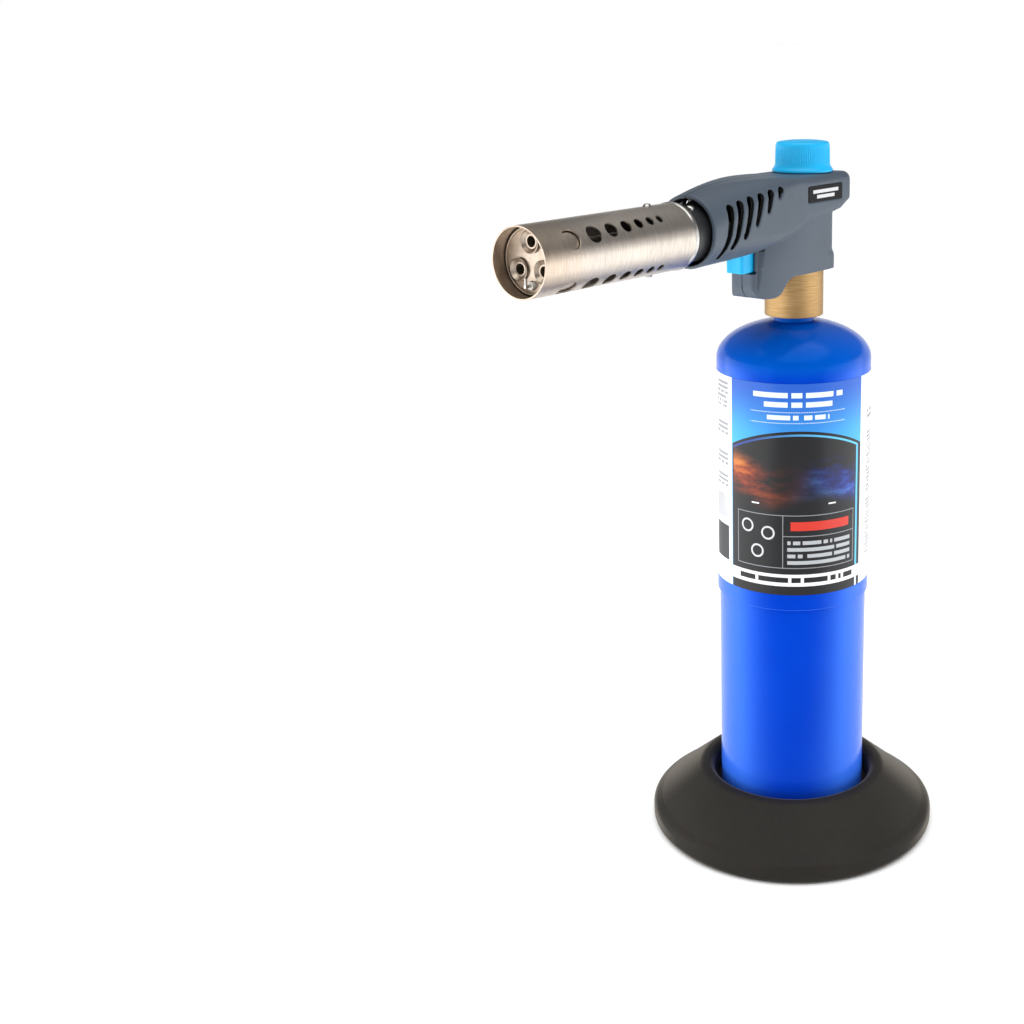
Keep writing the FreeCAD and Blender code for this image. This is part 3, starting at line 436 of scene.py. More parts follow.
def turned_metal(name, bright, dull, across, rough, fineness):
    """Metal with fine lines left by turning or brushing; across names the axis they cross."""
    g = Graph(name, Metallic=1.0)
    stretch = {"x": 0.02, "y": 0.02, "z": 0.02}
    stretch[across] = 1.0
    lined = g.vector(*(g.math("MULTIPLY", g.axis(a), stretch[a]) for a in "xyz"))
    lines = g.noise(fineness, 3, at=lined, roughness=0.65)
    bands = g.noise(fineness * 0.08, 2, at=lined)
    stain = g.noise(60, 4)
    tone = g.mix(g.ramp(lines, 0.3, 0.7, 0.0, 1.0), dull, bright)
    tone = g.mix(g.ramp(stain, 0.5, 0.8, 0.0, 0.35), tone, dull)
    gloss = g.math("MULTIPLY_ADD", lines, 0.14, rough - 0.07)
    gloss = g.math("MULTIPLY_ADD", stain, 0.08, gloss)
    height = g.math("MULTIPLY_ADD", bands, 0.5, lines)
    return g.paint(tone, gloss, g.bump(height, 0.18, 0.02))


def tube_material():
    """Brushed stainless with warm heat staining towards the mouth."""
    g = Graph("tube_steel", Metallic=1.0, Anisotropic=0.35)
    along = g.vector(
        g.axis("x"),
        g.math("MULTIPLY", g.axis("y"), 0.03),
        g.math("MULTIPLY", g.axis("z"), 0.03),
    )
    lines = g.noise(5600, 3, at=along, roughness=0.7)
    bands = g.noise(260, 3, at=along)
    stain = g.noise(45, 4)
    tone = g.mix(g.ramp(lines, 0.25, 0.75, 0.0, 1.0), srgb(158, 149, 140), srgb(204, 196, 187))
    tone = g.mix(g.ramp(bands, 0.45, 0.75, 0.0, 0.3), tone, srgb(190, 176, 162))
    forward = g.math("MULTIPLY", g.axis("x"), -1.0)
    reach = g.math("MULTIPLY_ADD", stain, 0.012, forward)
    mouth = tube_mouth * MM
    tone = g.mix(g.ramp(reach, mouth - 0.026, mouth + 0.004, 0.0, 0.35), tone, srgb(176, 148, 116))
    gloss = g.math("MULTIPLY_ADD", lines, 0.12, 0.26)
    gloss = g.math("MULTIPLY_ADD", stain, 0.1, gloss)
    height = g.math("MULTIPLY_ADD", bands, 0.6, lines)
    return g.paint(tone, gloss, g.bump(height, 0.12, 0.02))


def bare_metal(name, colour, dark, rough=0.3):
    """Plain metal with cloudy tone and gloss."""
    g = Graph(name, Metallic=1.0)
    broad = g.noise(160, 4)
    fine = g.noise(2400, 2)
    tone = g.mix(g.ramp(broad, 0.35, 0.7, 0.0, 1.0), dark, colour)
    gloss = g.math("MULTIPLY_ADD", broad, 0.2, rough - 0.1)
    return g.paint(tone, gloss, g.bump(fine, 0.12, 0.03))


# Direction in which the printed front panel faces, in degrees round +Z from +X.
PANEL_FACES = -142.0
PANEL_HALF = 35.8
PANEL_LEFT = -PANEL_HALF + 0.4
PANEL_INNER_LEFT = -PANEL_HALF + 1.2
BORDER_RIGHT = (32.2, 33.6)

WHITE_INK = srgb(240, 241, 244)
BLACK_INK = srgb(16, 17, 20)
PALE_INK = srgb(222, 238, 250)


class Wrap:
    """Print on the cylinder's wrap: u runs round it from the panel's middle, down from its top."""

    def __init__(self, graph):
        turn = math.radians(PANEL_FACES)
        x = graph.axis("x")
        y = graph.axis("y")
        facing = graph.math("MULTIPLY_ADD", x, math.cos(turn),
                            graph.math("MULTIPLY", y, math.sin(turn)))
        aside = graph.math("MULTIPLY_ADD", y, math.cos(turn),
                           graph.math("MULTIPLY", x, -math.sin(turn)))
        self.graph = graph
        self.u = graph.math("MULTIPLY", graph.math("ARCTAN2", aside, facing), label_radius)
        self.down = graph.math("MULTIPLY_ADD", graph.axis("z"), -1 / MM, label_high.z)

    def patch(self, left, right, top, bottom):
        """1 inside an upright rectangle."""
        g = self.graph
        return g.math("MULTIPLY", g.between(self.u, left, right), g.between(self.down, top, bottom))

    def dashes(self, left, right, top, bottom, pitch, cell, share=0.86):
        """Rows of short blank dashes that fill a patch; pitch is the row height."""
        g = self.graph
        rows = g.math("DIVIDE", g.math("SUBTRACT", self.down, top), pitch)
        along = g.math("FLOOR", g.math("DIVIDE", self.u, cell))
        random = g.tree.nodes.new("ShaderNodeTexWhiteNoise")
        random.noise_dimensions = "2D"
        g.tree.links.new(g.vector(along, g.math("FLOOR", rows), 0.0), random.inputs["Vector"])
        solid = g.math("LESS_THAN", random.outputs["Value"], share)
        stroke = g.math("LESS_THAN", g.math("FRACT", rows), 0.55)
        area = self.patch(left, right, top, bottom)
        return g.math("MULTIPLY", g.math("MULTIPLY", solid, stroke), area)

    def stripes(self, pitch, share):
        """1 on upright stripes that repeat round the wrap."""
        g = self.graph
        return g.math("LESS_THAN", g.math("FRACT", g.math("DIVIDE", self.u, pitch)), share)

    def ring(self, centre_u, centre_down, inner, outer):
        """1 on a plain ring between two radii."""
        g = self.graph
        across = g.math("SUBTRACT", self.u, centre_u)
        height = g.math("SUBTRACT", self.down, centre_down)
        reach = g.math("SQRT", g.math("ADD", g.math("MULTIPLY", across, across),
                                      g.math("MULTIPLY", height, height)))
        return g.between(reach, inner, outer)


def side_print(g, wrap, tone):
    """Side panels: blank rows of grey dashes, a striped block and one dark block."""
    side_rows = (
        (-52.0, -39.0, 3.0, 15.5, 2.3, 1.1),
        (-52.0, -39.0, 23.0, 29.0, 2.3, 1.1),
        (-52.0, -39.0, 38.0, 44.0, 2.3, 1.1),
        (-52.0, -39.0, 49.0, 55.0, 2.3, 1.1),
        (43.0, 57.0, 18.0, 23.0, 2.6, 1.0),
        (43.0, 57.0, 29.0, 60.0, 1.9, 0.9),
        (43.0, 57.0, 63.0, 92.0, 1.9, 0.9),
        (70.0, 100.0, 12.0, 88.0, 2.1, 1.2),
        (-100.0, -66.0, 20.0, 70.0, 2.1, 1.2),
    )
    for left, right, top, bottom, pitch, cell in side_rows:
        rows = wrap.dashes(left, right, top, bottom, pitch, cell, 0.8)
        tone = g.mix(rows, tone, srgb(150, 152, 156))
    striped = g.math("MULTIPLY", wrap.stripes(1.3, 0.5), wrap.patch(-52.0, -41.0, 59.0, 71.0))
    tone = g.mix(striped, tone, srgb(120, 122, 126))
    return g.mix(wrap.patch(-52.0, -38.6, 74.5, 92.0), tone, srgb(34, 36, 40))


def sky_print(g, wrap, tone):
    """Front panel's top: blue fading lighter downwards, with pale dashes and dotted rules."""
    fade = g.ramp(wrap.down, 0.0, 32.0, 0.0, 1.0)
    sky = g.mix(fade, srgb(26, 92, 196), srgb(58, 172, 236))
    centre_dark = g.ramp(g.math("ABSOLUTE", wrap.u), 4.0, 34.0, 0.4, 0.0)
    sky = g.mix(centre_dark, sky, srgb(28, 84, 190))
    tone = g.mix(g.between(wrap.u, -PANEL_HALF, PANEL_HALF), tone, sky)
    tone = g.mix(wrap.dashes(-23.5, 23.5, 4.2, 7.1, 4.5, 1.7, 0.9), tone, PALE_INK)
    tone = g.mix(wrap.dashes(-16.5, 16.5, 8.7, 11.6, 4.5, 1.7, 0.9), tone, PALE_INK)
    tone = g.mix(wrap.dashes(-15.0, 15.0, 15.0, 17.4, 4.0, 1.3, 0.85), tone, PALE_INK)
    dots = wrap.stripes(1.2, 0.6)
    for height in (13.4, 18.6):
        rule = g.math("MULTIPLY", dots, wrap.patch(-23.5, 23.5, height, height + 0.35))
        tone = g.mix(rule, tone, PALE_INK)
    return tone


def arch_print(g, wrap, tone):
    """Arched black panel with a blue border."""
    arch_drop = 9.6
    drop = g.math("MULTIPLY", g.math("MULTIPLY", wrap.u, wrap.u), arch_drop / PANEL_HALF**2)
    inward = g.math("SUBTRACT", wrap.down, drop)
    panel = g.math("MULTIPLY", g.between(wrap.u, PANEL_LEFT, PANEL_HALF),
                   g.math("GREATER_THAN", inward, 22.6))
    tone = g.mix(panel, tone, BLACK_INK)
    arch_line = g.math("MULTIPLY", g.between(inward, 24.0, 25.0),
                       g.between(wrap.u, PANEL_INNER_LEFT, BORDER_RIGHT[1]))
    side_line = g.math("MULTIPLY", g.between(wrap.u, *BORDER_RIGHT),
                       g.math("GREATER_THAN", inward, 24.0))
    border = g.math("MAXIMUM", arch_line, side_line)
    glow = g.ramp(wrap.u, -30.0, 30.0, 0.0, 1.0)
    return g.mix(border, tone, g.mix(glow, srgb(38, 66, 150), srgb(92, 196, 240)))


def haze_print(g, wrap, tone):
    """A plain haze across the black panel, warm on its left and cold on its right."""
    stretched = g.vector(g.math("MULTIPLY", wrap.u, 0.0004), g.math("MULTIPLY", wrap.down, 0.0011), 0.3)
    drift = g.noise(60, 6, at=stretched, roughness=0.62)
    wave = g.math("MULTIPLY", g.math("SINE", g.math("MULTIPLY", wrap.u, 0.13)), 3.0)
    middle = g.math("ABSOLUTE", g.math("SUBTRACT", g.math("ADD", wrap.down, wave), 48.0))
    veil = g.ramp(middle, 2.0, 13.0, 1.0, 0.0)
    sides = g.ramp(g.math("ABSOLUTE", wrap.u), 4.0, 24.0, 0.15, 1.0)
    haze = g.math("MULTIPLY", g.math("MULTIPLY", veil, sides), g.ramp(drift, 0.4, 0.66, 0.0, 1.0))
    haze = g.math("MULTIPLY", haze, g.between(wrap.u, PANEL_INNER_LEFT, 31.4))
    bright = g.ramp(drift, 0.5, 0.75, 0.0, 1.0)
    warm = g.mix(bright, srgb(176, 62, 18), srgb(244, 150, 52))
    cold = g.mix(bright, srgb(22, 52, 170), srgb(96, 156, 240))
    return g.mix(haze, tone, g.mix(g.ramp(wrap.u, -8.0, 8.0, 0.0, 1.0), warm, cold))


def lower_print(g, wrap, tone):
    """Plain rules, boxes, rings and blank rows in the panel's lower half."""
    for left, right in ((-23.0, -19.0), (15.0, 19.0)):
        tone = g.mix(wrap.patch(left, right, 58.4, 59.1), tone, WHITE_INK)
    frame_lines = (
        (-31.5, 30.6, 63.7, 64.1),
        (-31.5, 30.6, 90.0, 90.4),
        (-31.5, -31.1, 63.7, 90.4),
        (30.2, 30.6, 63.7, 90.4),
        (-7.4, -7.0, 63.7, 90.4),
        (-7.2, 30.6, 74.0, 74.4),
    )
    for line in frame_lines:
        tone = g.mix(wrap.patch(*line), tone, srgb(138, 142, 146))
    tone = g.mix(wrap.patch(-3.5, 27.0, 67.0, 71.4), tone, srgb(206, 52, 38))
    tone = g.mix(wrap.dashes(-5.0, 28.0, 76.6, 89.4, 3.3, 1.15, 0.9), tone, srgb(176, 180, 184))
    for centre in ((-25.5, 70.5), (-14.5, 73.0), (-20.0, 82.5)):
        tone = g.mix(wrap.ring(*centre, 2.5, 3.4), tone, srgb(206, 208, 212))
    tone = g.mix(wrap.patch(PANEL_LEFT, PANEL_HALF, 93.4, 99.4), tone, WHITE_INK)
    tone = g.mix(wrap.dashes(-30.0, 30.0, 95.0, 97.6, 6.0, 1.5, 0.9), tone, BLACK_INK)
    return g.mix(wrap.patch(*BORDER_RIGHT, 99.4, 110.0), tone, srgb(226, 236, 244))


def label_material():
    """A generic printed wrap: plain panels, rules and rows of blank dashes."""
    g = Graph("label_film", IOR=1.38)
    wrap = Wrap(g)
    tone = g.mix(g.noise(30, 3), WHITE_INK, srgb(228, 230, 234))
    for layer in (side_print, sky_print, arch_print, haze_print, lower_print):
        tone = layer(g, wrap, tone)
    gloss = g.math("MULTIPLY_ADD", g.noise(40, 3), 0.12, 0.28)
    tall = g.vector(g.axis("x"), g.axis("y"), g.math("MULTIPLY", g.axis("z"), 0.3))
    creases = g.noise(55, 2, at=tall)
    return g.paint(tone, gloss, g.bump(creases, 0.12, 0.1))


def badge_material():
    """A black plate with two plain light bars on its front."""
    g = Graph("badge_film", IOR=1.25)
    x = g.math("DIVIDE", g.axis("x"), MM)
    z = g.math("DIVIDE", g.axis("z"), MM)

    middle = (badge_low + badge_high) / 2
    front = g.math("LESS_THAN", g.axis("y"), (badge_low.y + 0.1) * MM)
    bar_half = 0.8
    bars = 0.0
    for row, reach in ((1.1, 10.6), (-1.3, 7.4)):
        tall = g.between(z, middle.z + row - bar_half, middle.z + row + bar_half)
        wide = g.between(x, middle.x - reach, middle.x + reach)
        bars = g.math("ADD", g.math("MULTIPLY", tall, wide), bars)
    bars = g.math("MULTIPLY", bars, front)
    tone = g.mix(bars, srgb(5, 5, 6), srgb(214, 216, 218))
    fine = g.noise(900, 2)
    return g.paint(tone, g.math("MULTIPLY_ADD", fine, 0.1, 0.45), g.bump(fine, 0.06, 0.03))


def floor_material():
    """Matt white studio floor."""
    g = Graph("pale_floor", Specular_IOR_Level=0.2)
    return g.paint(srgb(252, 252, 252), g.math("MULTIPLY_ADD", g.noise(3, 2), 0.1, 0.7))


PAINT = {
    "base_plastic": base_material(),
    "black_rubber": moulded("black_rubber", srgb(34, 34, 34), srgb(24, 24, 24), 0.75),
    "blue_paint": blue_paint_material(),
    "label_film": label_material(),
    "brass": turned_metal("brass", srgb(180, 150, 106), srgb(148, 116, 74), "z", 0.46, 4200),
    "plain_steel": bare_metal("plain_steel", srgb(206, 204, 200), srgb(160, 158, 154), 0.28),
    "sky_plastic": moulded("sky_plastic", srgb(18, 186, 244), srgb(10, 178, 238), 0.42, 0.12, 1800,
                           IOR=1.4),
    "tube_steel": tube_material(),
    "dark_collar": moulded("dark_collar", srgb(46, 47, 50), srgb(30, 31, 34), 0.38, 0.15),
    "ceramic": moulded("ceramic", srgb(232, 228, 218), srgb(214, 208, 196), 0.25, 0.05),
    "wire_jacket": moulded("wire_jacket", srgb(44, 44, 46), srgb(32, 32, 34), 0.5),
    "dark_plastic": moulded("dark_plastic", srgb(38, 38, 42), srgb(28, 28, 32), 0.5),
    "grey_housing": housing_material(),
    "badge_film": badge_material(),
}

# Each CAD node that stays gets its slot's material.
for part in frame["record"]["subparts"]:
    node = frame["nodes"][part["node"]]
    node.data.materials.clear()
    node.data.materials.append(PAINT[part["material_slot"]])

# ---------------------------------------------------------------- base


def make_base():
    """The moulded base, a well for the cylinder in it and a rubber ring under it."""
    top = base_high.z
    bottom = base_low.z
    mouth = 40.0
    edge = 11.5
    bore = 24.0
    well = lower_radius + 0.1
    well_floor = 3.1
    outline = [
        (bore, bottom),
        (base_radius - 1.0, bottom, 1.6),
        (base_radius, bottom + 2.2, 2.0),
        (base_radius, edge - 2.0, 4.0),
        (base_radius - 4.4, edge + 0.8, 4.0),
        (mouth + 6.6, top - 0.3, 5.0),
        (mouth + 2.0, top, 2.6),
        (mouth, top - 3.0, 3.0),
        (mouth, 18.0, 1.0),
        (well, 16.0),
        (well, well_floor),
        (bore, well_floor),
    ]
    turned("base_body", outline, PAINT["base_plastic"], "stand",
           ["stand_base"], segments=240)
    outside = foot_high.x
    inside = outside - 7.0
    ring = [
        (inside, foot_low.z, 0.3),
        (outside, foot_low.z, 0.3),
        (outside, foot_high.z),
        (inside, foot_high.z),
    ]
    turned("base_foot", ring, PAINT["black_rubber"], "stand",
           ["stand_foot_ring"], segments=160)


# ---------------------------------------------------------------- gas cylinder


SHELL_WALL = 1.0


def make_lower_shell():
    """Drawn lower half: a foot ring round a raised, dished bottom."""
    sole = lower_low.z
    top = lower_high.z
    foot = 31.0
    corner = 9.6
    inside_floor = sole + 8.5
    outline = [
        (0, sole + 7.0),
        (16.0, sole + 6.0, 8.0),
        (26.0, sole + 1.2, 6.0),
        (29.0, sole),
        (foot, sole),
    ]
    outline += arc((foot - 4.2, sole + corner), corner, -64, 0, 8)[1:]
    outline += [
        (lower_radius, top - 0.3),
        (lower_radius - SHELL_WALL, top - 0.3),
        (lower_radius - SHELL_WALL, inside_floor),
        (0, inside_floor),
    ]
    turned("cylinder_lower", outline, PAINT["blue_paint"], "cylinder",
           ["cylinder_lower_shell"], segments=200)


def make_upper_shell():
    """Upper half: a sleeve over the lower one, closed by an elliptical dome round the neck."""
    joint = upper_low.z
    shoulder = 244.5
    rise = upper_high.z - shoulder
    inner = lower_radius + 0.05
    neck = 9.82
    steps = 40
    outline = [
        (inner, joint, 0.2),
        (upper_radius, joint, 0.5),
        (upper_radius, joint + 20.0),
        (upper_radius, shoulder - 2.0),
    ]
    for k in range(steps + 1):
        angle = math.pi / 2 * k / steps
        radius = upper_radius * math.cos(angle)
        if radius < neck:
            break
        outline.append((radius, shoulder + rise * math.sin(angle)))
    edge = rise * math.sqrt(1 - (neck / upper_radius) ** 2)
    outline.append((neck, shoulder + edge))
    outline.append((neck, shoulder + edge - SHELL_WALL))
    for k in range(steps, -1, -2):
        angle = math.pi / 2 * k / steps
        radius = inner * math.cos(angle)
        if radius > neck + 0.5:
            outline.append((radius, shoulder + (rise - SHELL_WALL) * math.sin(angle)))
    turned("cylinder_upper", outline, PAINT["blue_paint"], "cylinder",
           ["cylinder_upper_shell"], segments=200)


def make_label():
    """The printed film round the upper half."""
    inside = label_radius - 0.14
    film = [
        (inside, label_low.z),
        (label_radius, label_low.z, 0.05),
        (label_radius, (label_low.z + label_high.z) / 2),
        (label_radius, label_high.z, 0.05),
        (inside, label_high.z),
    ]
    turned("cylinder_wrap", film, PAINT["label_film"], "cylinder",
           ["cylinder_label"], segments=240)


def make_boss():
    """Painted neck with turned thread rings above it."""
    low = boss_low.z
    high = boss_high.z
    out = boss_high.x
    root = out - 0.75
    pitch = 1.27
    turns = 9
    start = high - 12.2
    bore = 3.4
    neck = 9.8
    outline = [(bore, low), (neck, low), (neck, start - 0.9, 0.6), (root, start)]
    for turn in range(turns):
        level = start + pitch * turn
        outline.append((out, level + 0.6, 0.1))
        outline.append((root, level + pitch, 0.1))
    outline += [(root, high), (bore, high)]
    turned("cylinder_neck", outline, PAINT["blue_paint"], "cylinder",
           ["cylinder_boss"], segments=120)


def make_collar():
    """Brass nut: a threaded socket below a web with a gas hole, and a wider socket above it."""
    out = collar_radius
    low = collar_low.z
    high = collar_high.z
    lead_in = 13.4
    socket = 12.8
    upper_socket = 11.6
    gas_hole = 3.0
    web_low = 280.5
    web_high = 283.5
    outline = [
        (lead_in, low, 0.15),
        (out - 0.1, low, 0.45),
        (out, low + 1.2),
        (out, high - 1.0),
        (out, high, 0.2),
        (upper_socket, high),
        (upper_socket, web_high),
        (gas_hole, web_high),
        (gas_hole, web_low),
        (socket, web_low),
        (socket, low + 0.6),
    ]
    turned("collar_nut", outline, PAINT["brass"], "torch", ["brass_collar"],
           segments=160)


# ---------------------------------------------------------------- knob


def make_knob():
    """Cap with fine ribs, a flared foot and a hollow underneath."""
    low = knob_low.z
    high = knob_high.z
    radius = 13.0
    foot = knob_high.x - knob_centre.x
    ribs = 76
    rib_depth = 0.22
    hollow = low + 10.4
    side_low = low + 3.6
    side_high = high - 3.0

    def ribbed(r, z, angle):
        """Fine upright ribs that fade out above the foot and below the crown."""
        if r <= radius - 0.6:
            return r
        fade_low = min(max((z - low - 3.2) / 1.4, 0.0), 1.0)
        fade_high = min(max((high - 2.6 - z) / 1.2, 0.0), 1.0)
        wave = (0.5 - 0.5 * math.cos(ribs * angle)) ** 0.6
        return r - rib_depth * fade_low * fade_high * wave

    outline = [
        (4.0, low),
        (6.0, low),
        (6.0, hollow),
        (11.2, hollow),
        (11.6, low),
        (foot, low, 0.3),
        (foot, low + 1.0, 0.5),
        (radius + 0.35, low + 2.4, 1.6),
        (radius, side_low),
    ]
    levels = 10
    for k in range(1, levels):
        share = k / levels
        outline.append((radius - 0.2 * share, side_low + (side_high - side_low) * share))
    outline += [
        (radius - 0.2, side_high),
        (radius - 0.5, high - 0.9, 2.2),
        (8.0, high - 0.25, 6.0),
        (4.0, high - 0.04),
        (0, high),
        (0, low + 11.6),
        (4.0, low + 11.6),
    ]
    place = Matrix.Translation((knob_centre.x, knob_centre.y, 0))
    turned("knob_cap", outline, PAINT["sky_plastic"], "knob",
           ["control_knob"], place, segments=ribs * 6, radius_at=ribbed, sharp=50.0)


# ---------------------------------------------------------------- flame tube and burner

HOLE_REACH = (167.5, 154.3, 143.6, 134.3, 126.3, 119.0, 112.7)
HOLE_DIAMETERS = (9.1, 7.9, 6.6, 5.6, 4.8, 4.2, 3.7)
HOLE_TOP_ANGLE = 53.0
TUBE_RIM = 2.6
TUBE_SEAM = math.radians(-8.0)


def tube_holes():
    """Centre reach, angle round the tube and radius of every air hole, in four rows."""
    found = []
    for reach, diameter in zip(HOLE_REACH, HOLE_DIAMETERS):
        drop = math.degrees(diameter / 2 / tube_radius)
        for row in range(4):
            found.append((reach, math.radians(HOLE_TOP_ANGLE - drop + 90 * row), diameter / 2))
    return found


def in_hole(spot, hole, share=1.0, margin=0.0):
    """Whether a spot on the unrolled sheet lies in a hole, or in a scaled or widened one."""
    reach, turn, radius = hole
    angle = spot[0] / tube_radius + TUBE_SEAM
    gap = (angle - turn + math.pi) % (2 * math.pi) - math.pi
    return math.hypot(gap * tube_radius, spot[1] - reach) < radius * share + margin


def unrolled_sheet(holes, around, start, finish):
    """Points and faces of the flat sheet: a grid, joined up round the rim of every hole."""
    columns = 144
    rows = 46
    steps = 40
    spots = []
    for i in range(columns + 1):
        for j in range(rows + 1):
            spot = (around * i / columns, start + (finish - start) * j / rows)
            if not any(in_hole(spot, hole, margin=0.35) for hole in holes):
                spots.append(Vector(spot))
    edges = []
    for reach, turn, radius in holes:
        first = len(spots)
        base = ((turn - TUBE_SEAM) % (2 * math.pi)) * tube_radius
        for k in range(steps):
            angle = 2 * math.pi * k / steps
            side = math.asin(radius * math.sin(angle) / tube_radius) * tube_radius
            spots.append(Vector((base + side, reach + radius * math.cos(angle))))
            edges.append((first + k, first + (k + 1) % steps))
    points, _, faces, *_ = geometry.delaunay_2d_cdt(spots, edges, [], 0, 1e-5)
    kept = []
    for face in faces:
        middle = sum((points[i] for i in face), Vector((0, 0))) / len(face)
        if not any(in_hole(middle, hole, share=0.985) for hole in holes):
            kept.append(face)
    return points, kept


def rolled_skin(work, points, depth):
    """The sheet's points rolled round the tube's axis, this deep below its surface."""
    skin = []
    radius = tube_radius - depth
    for point in points:
        angle = point.x / tube_radius + TUBE_SEAM
        skin.append(work.verts.new((-point.y, -radius * math.cos(angle),
                                    tube_axis_height + radius * math.sin(angle))))
    return skin


def make_flame_tube():
    """Cuts round holes in a flat sheet, rolls it up and gives it its wall."""
    around = 2 * math.pi * tube_radius
    points, faces = unrolled_sheet(tube_holes(), around, tube_rear + TUBE_RIM, tube_mouth)
    work = bmesh.new()
    outside = rolled_skin(work, points, 0.0)
    inside = rolled_skin(work, points, tube_wall)
    walked = []
    for face in faces:
        work.faces.new([outside[i] for i in face])
        work.faces.new([inside[i] for i in reversed(face)])
        walked += zip(face, face[1:] + face[:1])
    shared = set(walked)
    left = 1e-3
    right = around - 1e-3
    for a, b in walked:
        if (b, a) in shared:
            continue
        on_left = points[a].x < left and points[b].x < left
        on_right = points[a].x > right and points[b].x > right
        if not on_left and not on_right:
            work.faces.new((outside[b], outside[a], inside[a], inside[b]))
    loose = [v for v in work.verts if not v.link_faces]
    bmesh.ops.delete(work, geom=loose, context="VERTS")
    mesh = mesh_from("flame_tube_barrel", work)
    finished("flame_tube_barrel", mesh, PAINT["tube_steel"], "torch",
             ["flame_tube"])


def make_tube_rim():
    """Rolled bead at the tube's rear end."""
    out = tube_radius
    inside = out - tube_wall
    bead = out + 0.35
    front = tube_rear + TUBE_RIM
    rim = [
        (inside, tube_rear + 0.4, 0.2),
        (out, tube_rear, 0.3),
        (bead, tube_rear + 0.6, 0.5),
        (bead, tube_rear + 1.8, 0.5),
        (out, front),
        (inside, front),
    ]
    turned("flame_tube_rim", rim, PAINT["plain_steel"], "torch",
           place=ALONG_TUBE, segments=144)


def make_burner_cup():
    """Thin cup round the burner head."""
    out = cup_high.y
    bore = mixer_radius + 0.05
    wall = 0.5
    cup = [
        (bore, cup_rear),
        (out - 0.2, cup_rear, 2.0),
        (out, cup_rear + 3.0),
        (out, burner_face, 0.15),
        (out - wall, burner_face, 0.15),
        (out - wall, cup_rear + 3.0),
        (out - wall - 0.1, cup_rear + wall, 1.6),
        (bore, cup_rear + wall),
    ]
    turned("burner_cup_body", cup, PAINT["tube_steel"], "torch",
           ["burner_cup"], ALONG_TUBE, segments=120)


def make_mixer_pipe():
    """Plain inner pipe."""
    rear = -mixer_high.x
    front = -mixer_low.x
    inside = mixer_radius - 0.6
    pipe = [
        (inside, rear + 0.4, 0.2),
        (mixer_radius, rear, 0.2),
        (mixer_radius, front),
        (inside, front),
    ]
    turned("mixer_pipe", pipe, PAINT["tube_steel"], "torch",
           ["mixer_tube"], ALONG_TUBE, segments=64)


def make_burner_collar():
    """Black ring with a waist, a low bead by the tube and a spigot inside the tube."""
    rear = -dark_high.x
    out = dark_high.y
    bore = mixer_radius + 0.05
    waist = 12.4
    bead = 12.9
    spigot_end = tube_rear + 7.0
    outline = [
        (bore, rear),
        (out - 0.1, rear, 0.6),
        (out - 0.1, rear + 6.2, 0.8),
        (waist, rear + 8.2, 0.8),
        (waist, tube_rear - 3.2, 0.3),
        (bead, tube_rear - 2.4, 0.3),
        (bead, tube_rear - 1.2, 0.3),
        (bead + 0.3, tube_rear - 0.3, 0.2),
        (out, tube_rear + 0.8),
        (out, spigot_end),
        (bore, spigot_end),
    ]
    turned("collar_ring", outline, PAINT["dark_collar"], "torch",
           ["burner_collar"], ALONG_TUBE, segments=120)


# ---------------------------------------------------------------- housing and trigger


def eased(value, low, high):
    """Rises smoothly from 0 at low to 1 at high."""
    share = min(max((value - low) / (high - low), 0.0), 1.0)
    return share * share * (3 - 2 * share)


def waist_depth(x, z):
    """How far the rear wall stands back above its foot, in millimetres."""
    depth = 1.0
    upright = eased(z, 293.5, 297.0) * (1 - eased(z, 313.0, 317.0))
    return depth * upright * eased(x, 2.0, 12.0)


def groove_depth(x, z):
    """Depth of the groove beside the trigger, which widens and deepens from its foot up."""
    foot = 281.5
    top = 303.0
    if z >= top or not -44 < x < -35:
        return 0.0
    rise = (z - foot) / 20.0
    middle = -39.9 + 1.5 * rise
    reach = 0.5 + 1.5 * max(rise, 0.0)
    share = (1 - eased(abs(x - middle), 0.25 * reach, reach)) * eased(z, foot - 0.5, foot + 3.5)
    return share * (0.5 + 1.3 * max(rise, 0.0))


def shape_housing(mesh, side):
    """Draws in the rear wall and presses the groove into one half; side is its sign in Y."""
    normals = [vertex.normal.copy() for vertex in mesh.vertices]
    for vertex, normal in zip(mesh.vertices, normals):
        x, y, z = vertex.co / MM
        outer_wall = normal.x * x + normal.y * y > 0 and abs(normal.z) < 0.6
        if outer_wall and x > 2 and 293 < z < 318:
            flat = Vector((normal.x, normal.y, 0))
            vertex.co -= flat * (waist_depth(x, z) * MM)
        if normal.y * side > 0.15 and 280 < z:
            vertex.co.y -= side * groove_depth(x, z) * MM


def make_housing():
    """Both halves of the housing, remeshed and softened."""
    for side, name, node in ((-1, "housing_shell_left", "housing_left"),
                             (1, "housing_shell_right", "housing_right")):
        shell = softened_copy(name, node, 0.4, 4, PAINT["grey_housing"], "torch")
        shape_housing(shell.data, side)


def make_trigger():
    """The trigger, remeshed and softened."""
    softened_copy("trigger_cap", "trigger_button", 0.22, 6, PAINT["sky_plastic"],
                  "trigger")


make_base()
make_lower_shell()
make_upper_shell()
make_label()
make_boss()
make_collar()
make_knob()
make_flame_tube()
make_tube_rim()
make_burner_cup()
make_mixer_pipe()
make_burner_collar()
make_housing()
make_trigger()

# ---------------------------------------------------------------- room, light, camera


def make_floor():
    """A wide, flat, pale floor."""
    work = bmesh.new()
    reach = 60.0
    corners = [(-reach, -reach), (reach, -reach), (reach, reach), (-reach, reach)]
    work.faces.new([work.verts.new((x, y, 0)) for x, y in corners])
    mesh = bpy.data.meshes.new("floor")
    work.to_mesh(mesh)
    work.free()
    floor = bpy.data.objects.new("floor", mesh)
    bpy.context.scene.collection.objects.link(floor)
    mesh.materials.append(floor_material())


